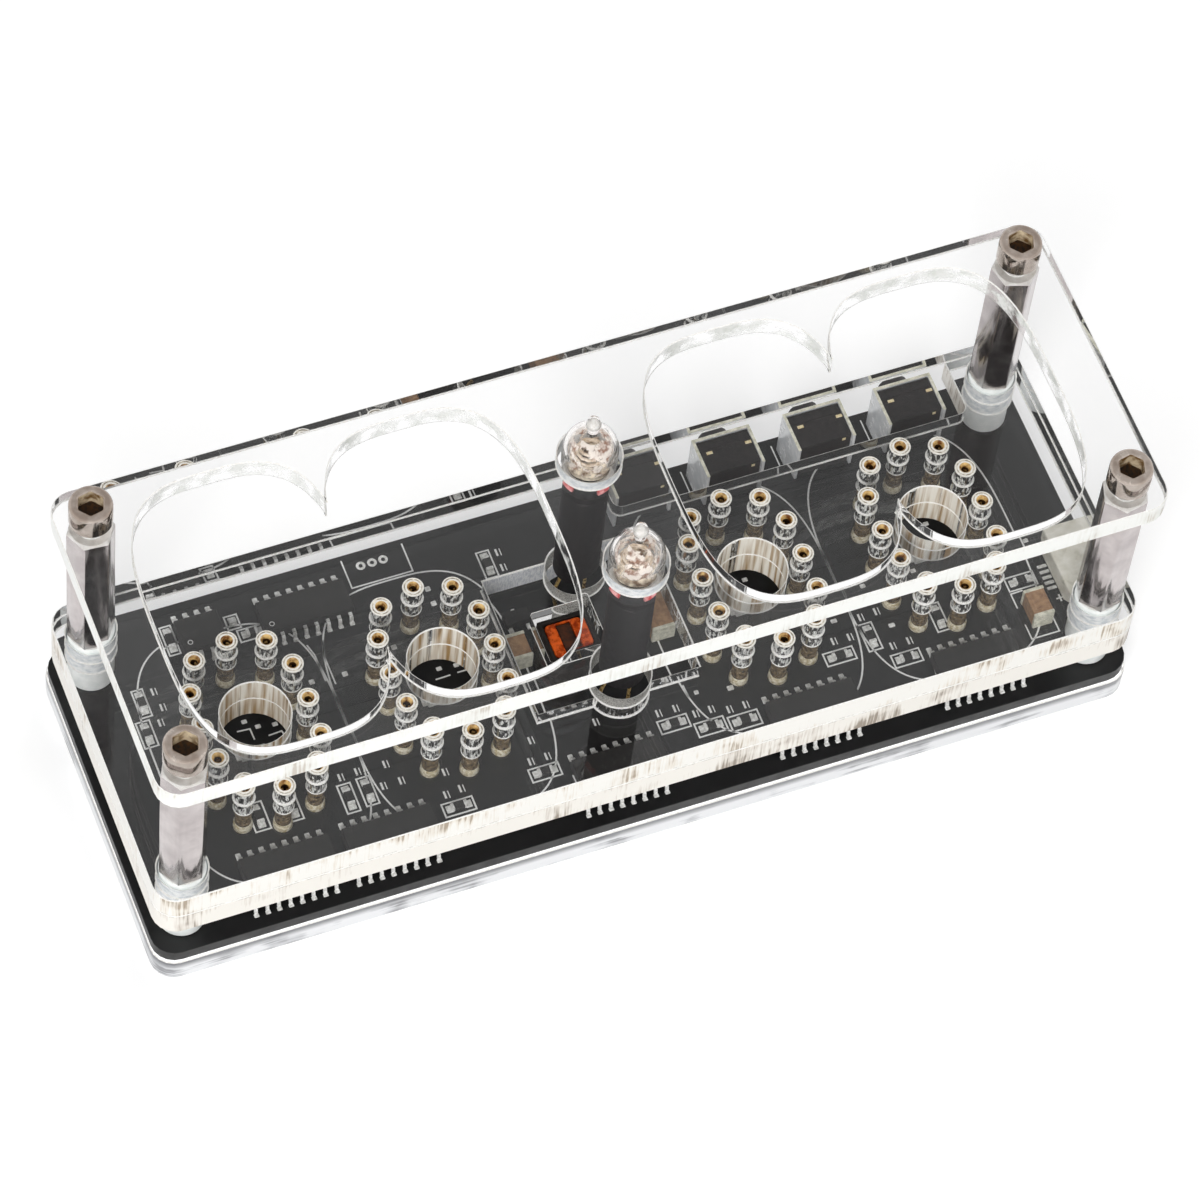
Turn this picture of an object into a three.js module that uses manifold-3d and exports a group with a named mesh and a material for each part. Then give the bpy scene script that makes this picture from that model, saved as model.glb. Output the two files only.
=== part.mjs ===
// Four-digit tube clock in a stack of clear sheets, with no tubes fitted.
// Millimetres, +Z up. Origin: centre of the base sheet's underside.
// +X runs along the clock, +Y to its back edge, where the buttons are.
import * as THREE from "three";
import { mergeVertices } from "three/addons/utils/BufferGeometryUtils.js";
import Module from "manifold-3d";

const wasm = await Module();
wasm.setup();

// Clearances shared by all pieces
const CUT_OVERRUN = 1;
const SEAT_GAP = 0.3;
const RUNNING_GAP = 0.08;
const BORE_GAP = 0.15;

// Display tubes: their windows in the top sheet set the clock's length and depth
const TUBE_WINDOW_WIDTH = 21.8;
const TUBE_WINDOW_DEPTH = 32.8;
const WINDOW_LOBE_OVERLAP = 1.05;
const WINDOW_BRIDGE_RIB = 2.9;
const WINDOW_END_RIM = 5.85;
const WINDOW_SIDE_RIM = 2.25;
const WINDOW_EXPONENT = 3.2;
const WINDOW_STEPS = 40;

// Clear sheets
const CORNER_RADIUS = 2.6;
const COVER_SHIFT_BACK = 0.15;
const COVER_THICKNESS = 3.3;
const TOP_THICKNESS = 2.65;
const BASE_THICKNESS = 3.2;
const BASE_OVERHANG_X = 0.15;
const BASE_OVERHANG_Y = 0.3;

// Circuit board, which reaches further back than the cover sheets
const BOARD_OVERHANG_X = 0.15;
const BOARD_OVERHANG_Y = 0.65;
const BOARD_SHIFT_BACK = 0.5;
const BOARD_THICKNESS = 1.6;
const BOARD_TO_COVER_GAP = 4;

// Corner columns: spacer, standoff, screws
const COLUMN_INSET_X = 3.7;
const COLUMN_INSET_Y = 3.95;
const COVER_TOP_BELOW_STANDOFF = 0.2;
const SPACER_DIAMETER = 5;
const STANDOFF_LENGTH = 19.55;
const STANDOFF_FLATS = 4.5;
const STANDOFF_CHAMFER = 0.35;
const STANDOFF_TURNS = [26, 12, 32, 41];
const SCREW_DIAMETER = 2.4;
const SCREW_HEAD_DIAMETER = 4.6;
const SCREW_HEAD_HEIGHT = 3.1;
const SCREW_SOCKET_CORNERS = 2.8;
const SCREW_SOCKET_DEPTH = 1.5;
const TOP_SCREW_REACH = 6;
const BOTTOM_SCREW_REACH = 5;
const BOTTOM_HEAD_DIAMETER = 4.7;
const BOTTOM_HEAD_HEIGHT = 1.5;

// Pin sockets of one tube, on an oval of twelve; the shares are of its half axes
const SOCKET_DIAMETER = 2.2;
const SOCKET_HOLE_DIAMETER = 2.5;
const SOCKET_BORE = 1;
const SOCKET_BORE_DEPTH = 4;
const SOCKET_SIDES = 8;
const SOCKET_OVAL_HALF_WIDTH = 5.8;
const SOCKET_OVAL_DEPTH_SHARE = 0.279;
const SOCKET_QUARTER_SHARES = [
  [0, 1],
  [0.69, 0.869],
  [0.974, 0.481],
  [1, 0],
];
const SOCKET_FOOT_WIDTH = 2.4;
const SOCKET_FOOT_THICKNESS = 0.3;

// Light hole and lamp chip under each tube
const LIGHT_HOLE_DIAMETER = 7.5;
const DIGIT_LED_LENGTH = 3.5;
const DIGIT_LED_DEPTH = 2.8;
const DIGIT_LED_HEIGHT = 1.1;
const DIGIT_LED_DISH_DIAMETER = 2.2;
const DIGIT_LED_DISH_DEPTH = 0.5;

// Neon lamps of the colon
const LAMP_X = -0.35;
const BACK_LAMP_Y = 6;
const FRONT_LAMP_Y = -7.45;
const LAMP_COVER_HOLE = 6.4;
const LAMP_TOP_HOLE = 6.7;
const BULB_DIAMETER = 5.9;
const BULB_FOOT_BELOW_TOP = 4.3;
const BULB_SHOULDER_ABOVE_TOP = 0.9;
const BULB_PIP_HEIGHT = 3;
const BULB_PIP_DIAMETER = 1.7;
const BULB_PIP_TIP_DIAMETER = 0.7;
const BULB_DOME_STEPS = 5;
const SLEEVE_DIAMETER = 4.9;
const SLEEVE_BORE = 4.1;
const SLEEVE_LIFT_ABOVE_COVER = 0.5;
const LEAD_DIAMETER = 0.5;
const LEAD_SPREAD = 2.54;

// Window in the lower cover over the tall parts, and the inductor in it
const PARTS_WINDOW_X = -0.7;
const PARTS_WINDOW_Y = 0.15;
const PARTS_WINDOW_RIBS = 2.8;
const PARTS_WINDOW_DEPTH = 17;
const INDUCTOR_HOLE_X = -3.75;
const INDUCTOR_HOLE_Y = -0.95;
const INDUCTOR_HOLE = 6.3;
const INDUCTOR_X = -3.55;
const INDUCTOR_Y = -0.8;
const INDUCTOR_CASE = 5.4;
const INDUCTOR_CASE_WALL = 0.5;
const INDUCTOR_BELOW_COVER_TOP = 1.6;
const WINDING_SHOWN_DEPTH = 3;
const WINDING_WALL = 0.95;

// Push buttons along the back edge
const SWITCH_COUNT = 4;
const SWITCH_PITCH = 10.6;
const LAST_SWITCH_FROM_COLUMN = 8.9;
const SWITCH_INSET_BACK = 1.45;
const SWITCH_BELOW_COVER = 0.3;
const BRACKET_DEPTH = 4.95;
const BRACKET_WIDTH = 6.7;
const BRACKET_SHEET = 0.35;
const SWITCH_BODY_DEPTH = 4.3;
const SWITCH_BODY_DROP = 0.15;
const PLUNGER_DIAMETER = 3.4;
const PLUNGER_HEIGHT = 3.6;
const PLUNGER_PROUD = 1.85;
const PLUNGER_COLLAR_DIAMETER = 4.2;
const PLUNGER_COLLAR_THICKNESS = 0.8;
const PLUNGER_TRAVEL_ROOM = 0.5;
const PLUNGER_SIDES = 16;
const NOTCH_ROOM_LEFT = 0.6;
const NOTCH_ROOM_RIGHT = 2;
const NOTCH_FRONT_SHARE = 0.3271;

// Gull-wing chips and their places; the row shares are of the sheets' depth
const LEAD_PITCH = 1.27;
const CHIP_BODY_DEPTH = 3.9;
const CHIP_BODY_HEIGHT = 1.5;
const CHIP_STAND_OFF = 0.2;
const CHIP_END_MARGIN = 0.5;
const CHIP_SPAN = 6;
const CHIP_LEAD_WIDTH = 0.42;
const CHIP_LEAD_THICKNESS = 0.24;
const CHIP_LEAD_TOP = 1;
const CHIP_SHOULDER_REACH = 0.45;
const CHIP_FOOT_LENGTH = 0.5;
const WIDE_CHIP_LEAD_COUNT = 8;
const NARROW_CHIP_LEAD_COUNT = 4;
const DRIVER_ROW_SHARE = 0.386;
const FIRST_DRIVER_FROM_COLUMN = 11.85;
const SECOND_DRIVER_STEP = 11.35;
const MIDDLE_DRIVER_X = -2.45;
const FOURTH_DRIVER_FROM_TUBE = 2.1;
const LAST_DRIVER_FROM_COLUMN = 12.65;
const CONTROLLER_ROW_SHARE = 0.3834;
const CONTROLLER_STEP = 11.45;
const TIMEKEEPER_ROW_SHARE = 0.3995;
const TIMEKEEPER_FROM_COLUMN = 12.25;

// Large capacitors
const CAPACITOR_HEIGHT = 2.5;
const CAPACITOR_END = 0.5;
const CAPACITOR_END_STEP = 0.06;
const SUPPLY_CAPACITOR_X = -7.55;
const SUPPLY_CAPACITOR_Y = 2.7;
const SUPPLY_CAPACITOR_WIDTH = 2.1;
const SUPPLY_CAPACITOR_LENGTH = 3.2;
const BOOST_CAPACITOR_X = 7.7;
const BOOST_CAPACITOR_Y = 1.6;
const BOOST_CAPACITOR_WIDTH = 2.5;
const BOOST_CAPACITOR_LENGTH = 4.8;
const INLET_CAPACITOR_FROM_COLUMN_X = 4.3;
const INLET_CAPACITOR_FROM_COLUMN_Y = 4.1;
const INLET_CAPACITOR_WIDTH = 2.2;
const INLET_CAPACITOR_LENGTH = 3.5;

// Boost transistor beside the inductor
const TRANSISTOR_X = -6.1;
const TRANSISTOR_Y = 6.9;
const TRANSISTOR_LENGTH = 2.9;
const TRANSISTOR_DEPTH = 1.6;
const TRANSISTOR_HEIGHT = 1.1;
const TRANSISTOR_FOOT_REACH = 0.6;
const TRANSISTOR_FOOT_WIDTH = 0.4;
const TRANSISTOR_FOOT_THICKNESS = 0.3;
const TRANSISTOR_FOOT_PITCH = 0.95;

// Power inlet at the right end
const INLET_FROM_COLUMN_Y = 7.7;
const INLET_WIDTH = 8;
const INLET_DEPTH = 5.5;
const INLET_HEIGHT = 2.7;
const INLET_SHEET = 0.35;
const INLET_PROUD = 0.8;
const INLET_CHAMFER = 0.9;
const INLET_TONGUE_WIDTH = 5;
const INLET_TONGUE_THICKNESS = 0.6;
const INLET_TONGUE_SETBACK = 0.9;
const INLET_BACK_BLOCK = 1.4;

// Facets of round pieces
const HEXAGON_SIDES = 6;
const COARSE_SIDES = 12;
const FINE_SIDES = 20;
const CORNER_STEPS = 4;

// Plan of the clock, from the middle outwards
const bridgeWidth = LAMP_TOP_HOLE + 2 * Math.abs(LAMP_X) + 2 * WINDOW_BRIDGE_RIB;
const innerTubeX = (bridgeWidth + TUBE_WINDOW_WIDTH) / 2;
const outerTubeX = innerTubeX + TUBE_WINDOW_WIDTH - WINDOW_LOBE_OVERLAP;
const tubeXs = [-outerTubeX, -innerTubeX, innerTubeX, outerTubeX];
const sheetLength = 2 * outerTubeX + TUBE_WINDOW_WIDTH + 2 * WINDOW_END_RIM;
const sheetDepth = TUBE_WINDOW_DEPTH + 2 * WINDOW_SIDE_RIM;
const boardLength = sheetLength + 2 * BOARD_OVERHANG_X;
const boardDepth = sheetDepth + 2 * BOARD_OVERHANG_Y;
const baseLength = boardLength + 2 * BASE_OVERHANG_X;
const baseDepth = boardDepth + 2 * BASE_OVERHANG_Y;
const columnX = sheetLength / 2 - COLUMN_INSET_X;
const columnY = sheetDepth / 2 - COLUMN_INSET_Y;
const columnPlaces = [
  [-columnX, columnY],
  [columnX, columnY],
  [-columnX, -columnY],
  [columnX, -columnY],
];
const lampYs = { back: BACK_LAMP_Y, front: FRONT_LAMP_Y };
const lastSwitchX = columnX - LAST_SWITCH_FROM_COLUMN;
const firstSwitchX = lastSwitchX - (SWITCH_COUNT - 1) * SWITCH_PITCH;
const switchBackY = boardDepth / 2 + BOARD_SHIFT_BACK - SWITCH_INSET_BACK;
const coverBackY = sheetDepth / 2 + COVER_SHIFT_BACK;
const firstDriverX = FIRST_DRIVER_FROM_COLUMN - columnX;
const driverChipXs = [
  firstDriverX,
  firstDriverX + SECOND_DRIVER_STEP,
  MIDDLE_DRIVER_X,
  innerTubeX + FOURTH_DRIVER_FROM_TUBE,
  columnX - LAST_DRIVER_FROM_COLUMN,
];
const timekeeperX = TIMEKEEPER_FROM_COLUMN - columnX;

// Heights of the stack, from the table up
const boardBottom = BASE_THICKNESS;
const boardTop = boardBottom + BOARD_THICKNESS;
const lowerCoverBottom = boardTop + BOARD_TO_COVER_GAP;
const upperCoverBottom = lowerCoverBottom + COVER_THICKNESS;
const upperCoverTop = upperCoverBottom + COVER_THICKNESS;
const standoffBottom = upperCoverTop + COVER_TOP_BELOW_STANDOFF;
const spacerLength = standoffBottom - boardTop;
const topPlateBottom = standoffBottom + STANDOFF_LENGTH;
const topPlateTop = topPlateBottom + TOP_THICKNESS;
const bracketHeight = BOARD_TO_COVER_GAP + COVER_THICKNESS - SWITCH_BELOW_COVER;

// The twelve sockets in order round the oval
const rightShares = [
  ...SOCKET_QUARTER_SHARES,
  ...SOCKET_QUARTER_SHARES.slice(0, -1).reverse().map(([x, y]) => [x, -y]),
];
const ringShares = [
  ...rightShares,
  ...rightShares.slice(1, -1).reverse().map(([x, y]) => [-x, y]),
];
const socketPlaces = ringShares.map(([x, y]) => [
  x * SOCKET_OVAL_HALF_WIDTH,
  y * SOCKET_OVAL_DEPTH_SHARE * TUBE_WINDOW_DEPTH,
]);

// A closed geometry as a solid that can be joined and cut
function toSolid(geometry) {
  const bare = geometry.index ? geometry.toNonIndexed() : geometry.clone();
  bare.deleteAttribute("normal");
  bare.deleteAttribute("uv");
  const merged = mergeVertices(bare);
  return new wasm.Manifold(
    new wasm.Mesh({
      numProp: 3,
      vertProperties: new Float32Array(merged.attributes.position.array),
      triVerts: new Uint32Array(merged.index.array),
    }),
  );
}

// A solid back as a geometry with flat-shaded faces
function toGeometry(solid) {
  const mesh = solid.getMesh();
  const geometry = new THREE.BufferGeometry();
  geometry.setAttribute(
    "position",
    new THREE.BufferAttribute(new Float32Array(mesh.vertProperties), 3),
  );
  geometry.setIndex(new THREE.BufferAttribute(new Uint32Array(mesh.triVerts), 1));
  geometry.computeVertexNormals();
  return geometry;
}

function boxAt(length, depth, height, x, y, bottom) {
  const box = new THREE.BoxGeometry(length, depth, height);
  return toSolid(box.translate(x, y, bottom + height / 2));
}

// Round bar standing on Z, straight or tapered
function barAt(diameter, height, x, y, bottom, sides = COARSE_SIDES, topDiameter = diameter) {
  const bar = new THREE.CylinderGeometry(topDiameter / 2, diameter / 2, height, sides);
  bar.rotateX(Math.PI / 2);
  return toSolid(bar.translate(x, y, bottom + height / 2));
}

function prismAt(shape, height, bottom) {
  const settings = { depth: height, bevelEnabled: false, curveSegments: CORNER_STEPS };
  const prism = new THREE.ExtrudeGeometry(shape, settings);
  return toSolid(prism.translate(0, 0, bottom));
}

function turnedSolid(profile, sides) {
  const points = profile.map(([radius, height]) => new THREE.Vector2(radius, height));
  return toSolid(new THREE.LatheGeometry(points, sides).rotateX(Math.PI / 2));
}

function roundedRectangle(length, depth, radius, x = 0, y = 0) {
  const left = x - length / 2;
  const front = y - depth / 2;
  const right = left + length;
  const back = front + depth;
  const shape = new THREE.Shape();
  shape.moveTo(left + radius, front);
  shape.lineTo(right - radius, front);
  shape.absarc(right - radius, front + radius, radius, -Math.PI / 2, 0);
  shape.lineTo(right, back - radius);
  shape.absarc(right - radius, back - radius, radius, 0, Math.PI / 2);
  shape.lineTo(left + radius, back);
  shape.absarc(left + radius, back - radius, radius, Math.PI / 2, Math.PI);
  shape.lineTo(left, front + radius);
  shape.absarc(left + radius, front + radius, radius, Math.PI, Math.PI * 1.5);
  return shape;
}

// Oval between an ellipse and a rectangle, as the tube's own outline is
function tubeOval(x) {
  const points = [];
  for (let step = 0; step < WINDOW_STEPS; step++) {
    const angle = (step / WINDOW_STEPS) * Math.PI * 2;
    const cosine = Math.cos(angle);
    const sine = Math.sin(angle);
    const along = Math.sign(cosine) * Math.abs(cosine) ** (2 / WINDOW_EXPONENT);
    const across = Math.sign(sine) * Math.abs(sine) ** (2 / WINDOW_EXPONENT);
    points.push(
      new THREE.Vector2(
        x + (along * TUBE_WINDOW_WIDTH) / 2,
        (across * TUBE_WINDOW_DEPTH) / 2,
      ),
    );
  }
  return new THREE.Shape(points);
}

function cutAll(solid, cutters) {
  return cutters.reduce((rest, cutter) => rest.subtract(cutter), solid);
}

function joinAll(solids) {
  return solids.reduce((whole, solid) => whole.add(solid));
}

function holeThrough(diameter, thickness, x, y, sides = COARSE_SIDES) {
  return barAt(diameter, thickness + 2 * CUT_OVERRUN, x, y, -CUT_OVERRUN, sides);
}

function columnHoles(diameter, thickness) {
  return columnPlaces.map(([x, y]) => holeThrough(diameter, thickness, x, y));
}

const screwHole = SCREW_DIAMETER + 2 * BORE_GAP;

function basePlate() {
  const outline = roundedRectangle(baseLength, baseDepth, CORNER_RADIUS, 0, BOARD_SHIFT_BACK);
  const headHoles = columnPlaces.map(([x, y]) =>
    barAt(
      BOTTOM_HEAD_DIAMETER + 2 * BORE_GAP,
      BOTTOM_HEAD_HEIGHT,
      x,
      y,
      0,
      COARSE_SIDES,
      screwHole,
    ),
  );
  return cutAll(prismAt(outline, BASE_THICKNESS, 0), [
    ...columnHoles(screwHole, BASE_THICKNESS),
    ...headHoles,
  ]);
}

function circuitBoard() {
  const outline = roundedRectangle(boardLength, boardDepth, CORNER_RADIUS, 0, BOARD_SHIFT_BACK);
  return cutAll(prismAt(outline, BOARD_THICKNESS, 0), columnHoles(screwHole, BOARD_THICKNESS));
}

// The holes that both cover sheets share
function coverHoles() {
  const holes = columnHoles(SPACER_DIAMETER + 2 * BORE_GAP, COVER_THICKNESS);
  for (const tubeX of tubeXs) {
    holes.push(holeThrough(LIGHT_HOLE_DIAMETER, COVER_THICKNESS, tubeX, 0, FINE_SIDES));
    for (const [x, y] of socketPlaces)
      holes.push(
        holeThrough(SOCKET_HOLE_DIAMETER, COVER_THICKNESS, tubeX + x, y, SOCKET_SIDES),
      );
  }
  for (const y of Object.values(lampYs))
    holes.push(holeThrough(LAMP_COVER_HOLE, COVER_THICKNESS, LAMP_X, y, FINE_SIDES));
  return holes;
}

// Open towards the back edge, where the push buttons reach out
function switchNotch() {
  const frontY = NOTCH_FRONT_SHARE * sheetDepth;
  const depth = coverBackY + CUT_OVERRUN - frontY;
  const leftX = firstSwitchX - BRACKET_WIDTH / 2 - NOTCH_ROOM_LEFT;
  const rightX = lastSwitchX + BRACKET_WIDTH / 2 + NOTCH_ROOM_RIGHT;
  return boxAt(
    rightX - leftX,
    depth,
    COVER_THICKNESS + 2 * CUT_OVERRUN,
    (leftX + rightX) / 2,
    frontY + depth / 2,
    -CUT_OVERRUN,
  );
}

function coverSheet() {
  const outline = roundedRectangle(
    sheetLength,
    sheetDepth,
    CORNER_RADIUS,
    0,
    COVER_SHIFT_BACK,
  );
  return prismAt(outline, COVER_THICKNESS, 0);
}

function upperCoverPlate() {
  const towerHole = boxAt(
    INDUCTOR_HOLE,
    INDUCTOR_HOLE,
    COVER_THICKNESS + 2 * CUT_OVERRUN,
    INDUCTOR_HOLE_X,
    INDUCTOR_HOLE_Y,
    -CUT_OVERRUN,
  );
  return cutAll(coverSheet(), [...coverHoles(), towerHole]);
}

function lowerCoverPlate() {
  const socketsEnd = innerTubeX - SOCKET_OVAL_HALF_WIDTH - SOCKET_HOLE_DIAMETER / 2;
  const partsWindow = boxAt(
    2 * socketsEnd - PARTS_WINDOW_RIBS,
    PARTS_WINDOW_DEPTH,
    COVER_THICKNESS + 2 * CUT_OVERRUN,
    PARTS_WINDOW_X,
    PARTS_WINDOW_Y,
    -CUT_OVERRUN,
  );
  return cutAll(coverSheet(), [...coverHoles(), partsWindow, switchNotch()]);
}

function topPlate() {
  const sheet = roundedRectangle(sheetLength, sheetDepth, CORNER_RADIUS);
  const windows = tubeXs.map((x) =>
    prismAt(tubeOval(x), TOP_THICKNESS + 2 * CUT_OVERRUN, -CUT_OVERRUN),
  );
  const lampHoles = Object.values(lampYs).map((y) =>
    holeThrough(LAMP_TOP_HOLE, TOP_THICKNESS, LAMP_X, y, FINE_SIDES),
  );
  return cutAll(prismAt(sheet, TOP_THICKNESS, 0), [
    ...windows,
    ...lampHoles,
    ...columnHoles(screwHole, TOP_THICKNESS),
  ]);
}

function spacer() {
  return barAt(SPACER_DIAMETER, spacerLength, 0, 0, 0).subtract(
    holeThrough(screwHole, spacerLength, 0, 0),
  );
}

// Hexagonal standoff, both ends chamfered, screwed home at some angle in degrees
function standoff(turn) {
  const radius = STANDOFF_FLATS / Math.sqrt(3);
  const endRadius = radius - STANDOFF_CHAMFER;
  const profile = [
    [0, 0],
    [endRadius, 0],
    [radius, STANDOFF_CHAMFER],
    [radius, STANDOFF_LENGTH - STANDOFF_CHAMFER],
    [endRadius, STANDOFF_LENGTH],
    [0, STANDOFF_LENGTH],
  ];
  return turnedSolid(profile, HEXAGON_SIDES)
    .subtract(holeThrough(screwHole, STANDOFF_LENGTH, 0, 0))
    .rotate([0, 0, turn]);
}

// Socket-head screw, its shank pointing down from the sheet's top face at zero
function topScrew() {
  const shank = TOP_THICKNESS + TOP_SCREW_REACH;
  const headTop = SCREW_HEAD_HEIGHT;
  const whole = joinAll([
    barAt(SCREW_DIAMETER, shank + headTop / 2, 0, 0, -shank),
    barAt(SCREW_HEAD_DIAMETER, headTop, 0, 0, 0),
  ]);
  return whole.subtract(
    barAt(
      SCREW_SOCKET_CORNERS,
      SCREW_SOCKET_DEPTH + CUT_OVERRUN,
      0,
      0,
      headTop - SCREW_SOCKET_DEPTH,
      HEXAGON_SIDES,
    ),
  );
}

// Flush screw from below, its head flat with the base's underside at zero
function bottomScrew() {
  const top = standoffBottom + BOTTOM_SCREW_REACH;
  const head = turnedSolid(
    [
      [0, 0],
      [BOTTOM_HEAD_DIAMETER / 2, 0],
      [SCREW_DIAMETER / 2, BOTTOM_HEAD_HEIGHT],
      [SCREW_DIAMETER / 2, top],
      [0, top],
    ],
    COARSE_SIDES,
  );
  return head.subtract(
    barAt(
      SCREW_SOCKET_CORNERS / 2,
      BOTTOM_HEAD_HEIGHT,
      0,
      0,
      -BOTTOM_HEAD_HEIGHT / 2,
      HEXAGON_SIDES,
    ),
  );
}

// Twelve pin sockets on one thin oval foot that lies on the board
function tubeSockets() {
  const height = upperCoverTop - boardTop;
  const outside = new THREE.Shape(socketPlaces.map(([x, y]) => footPoint(x, y, 1)));
  const inside = new THREE.Shape(socketPlaces.map(([x, y]) => footPoint(x, y, -1)));
  const foot = prismAt(outside, SOCKET_FOOT_THICKNESS, 0).subtract(
    prismAt(inside, SOCKET_FOOT_THICKNESS + 2 * CUT_OVERRUN, -CUT_OVERRUN),
  );
  const pieces = [foot];
  const bores = [];
  for (const [x, y] of socketPlaces) {
    pieces.push(barAt(SOCKET_DIAMETER, height, x, y, 0, SOCKET_SIDES));
    bores.push(
      barAt(
        SOCKET_BORE,
        SOCKET_BORE_DEPTH + CUT_OVERRUN,
        x,
        y,
        height - SOCKET_BORE_DEPTH,
        SOCKET_SIDES,
      ),
    );
  }
  return cutAll(joinAll(pieces), bores);
}

// A corner of the foot's outer or inner outline beside one socket
function footPoint(x, y, side) {
  const reach = Math.hypot(x, y);
  const share = 1 + (side * SOCKET_FOOT_WIDTH) / 2 / reach;
  return new THREE.Vector2(x * share, y * share);
}

function digitLed() {
  const body = boxAt(DIGIT_LED_LENGTH, DIGIT_LED_DEPTH, DIGIT_LED_HEIGHT, 0, 0, 0);
  return body.subtract(
    barAt(
      DIGIT_LED_DISH_DIAMETER,
      DIGIT_LED_DISH_DEPTH + CUT_OVERRUN,
      0,
      0,
      DIGIT_LED_HEIGHT - DIGIT_LED_DISH_DEPTH,
    ),
  );
}

const bulbBottom = topPlateTop - BULB_FOOT_BELOW_TOP;
const bulbShoulder = topPlateTop + BULB_SHOULDER_ABOVE_TOP;

// Glass bulb with its drawn-off tip, and the two wires it stands on
function lampBulb() {
  const radius = BULB_DIAMETER / 2;
  const profile = [[0, bulbBottom]];
  profile.push([radius, bulbBottom]);
  for (let step = 0; step < BULB_DOME_STEPS; step++) {
    const angle = (step / BULB_DOME_STEPS) * (Math.PI / 2);
    profile.push([radius * Math.cos(angle), bulbShoulder + radius * Math.sin(angle)]);
  }
  const apex = bulbShoulder + radius;
  profile.push([BULB_PIP_DIAMETER / 2, apex]);
  profile.push([BULB_PIP_TIP_DIAMETER / 2, apex + BULB_PIP_HEIGHT]);
  profile.push([0, apex + BULB_PIP_HEIGHT]);
  const glass = turnedSolid(profile, COARSE_SIDES);
  const wires = [-1, 1].map((side) =>
    barAt(
      LEAD_DIAMETER,
      bulbBottom + SEAT_GAP - boardTop,
      (side * LEAD_SPREAD) / 2,
      0,
      boardTop,
      SOCKET_SIDES,
    ),
  );
  return joinAll([glass, ...wires]);
}

const sleeveBottom = upperCoverTop + SLEEVE_LIFT_ABOVE_COVER;

// Black sleeve under the bulb, round both wires
function lampSleeve() {
  const length = bulbBottom - sleeveBottom;
  return barAt(SLEEVE_DIAMETER, length, 0, 0, 0, FINE_SIDES).subtract(
    holeThrough(SLEEVE_BORE, length, 0, 0, FINE_SIDES),
  );
}

// Case of the tall inductor, open at the top round its winding
function inductorCase() {
  const height = upperCoverTop - INDUCTOR_BELOW_COVER_TOP - boardTop;
  const pocket = INDUCTOR_CASE - 2 * INDUCTOR_CASE_WALL;
  return boxAt(INDUCTOR_CASE, INDUCTOR_CASE, height, 0, 0, 0).subtract(
    boxAt(
      pocket,
      pocket,
      WINDING_SHOWN_DEPTH + CUT_OVERRUN,
      0,
      0,
      height - WINDING_SHOWN_DEPTH,
    ),
  );
}

// Winding in the case's pocket, hollow in the middle
function inductorWinding() {
  const width = INDUCTOR_CASE - 2 * INDUCTOR_CASE_WALL - 2 * BORE_GAP;
  const hollow = width - 2 * WINDING_WALL;
  const height = WINDING_SHOWN_DEPTH;
  return boxAt(width, width, height, 0, 0, 0).subtract(
    boxAt(hollow, width - WINDING_WALL, height, 0, 0, WINDING_WALL),
  );
}

const switchTop = bracketHeight - SWITCH_BODY_DROP;
const switchBodyWidth = BRACKET_WIDTH - 2 * BRACKET_SHEET;

// A round bar lying along Y, for the buttons and their holes
function lyingBar(diameter, length, y, z) {
  const bar = new THREE.CylinderGeometry(diameter / 2, diameter / 2, length, PLUNGER_SIDES);
  return toSolid(bar.translate(0, y + length / 2, z));
}

// Local frame of a switch: Y zero is the back of its bracket, Z zero the board
function switchBody() {
  const back = -BRACKET_SHEET;
  const body = boxAt(
    switchBodyWidth,
    SWITCH_BODY_DEPTH,
    switchTop,
    0,
    back - SWITCH_BODY_DEPTH / 2,
    0,
  );
  const depth = PLUNGER_COLLAR_THICKNESS + PLUNGER_TRAVEL_ROOM;
  return body.subtract(
    lyingBar(
      PLUNGER_COLLAR_DIAMETER + 2 * RUNNING_GAP,
      depth + CUT_OVERRUN,
      back - depth,
      PLUNGER_HEIGHT,
    ),
  );
}

function switchBracket() {
  const sheet = BRACKET_SHEET;
  const sideX = (BRACKET_WIDTH - sheet) / 2;
  const sides = [-sideX, sideX].map((x) =>
    boxAt(sheet, BRACKET_DEPTH, bracketHeight, x, -BRACKET_DEPTH / 2, 0),
  );
  const back = boxAt(BRACKET_WIDTH, sheet, bracketHeight, 0, -sheet / 2, 0);
  return joinAll([...sides, back]).subtract(
    lyingBar(
      PLUNGER_DIAMETER + 2 * RUNNING_GAP,
      sheet + 2 * CUT_OVERRUN,
      -sheet - CUT_OVERRUN,
      PLUNGER_HEIGHT,
    ),
  );
}

// A stem through the bracket, kept in by a collar behind the sheet
function buttonPlunger() {
  const collarBack = -BRACKET_SHEET - RUNNING_GAP;
  const inner = collarBack - PLUNGER_COLLAR_THICKNESS;
  return joinAll([
    lyingBar(PLUNGER_COLLAR_DIAMETER, PLUNGER_COLLAR_THICKNESS, inner, PLUNGER_HEIGHT),
    lyingBar(PLUNGER_DIAMETER, PLUNGER_PROUD - inner, inner, PLUNGER_HEIGHT),
  ]);
}

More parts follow.
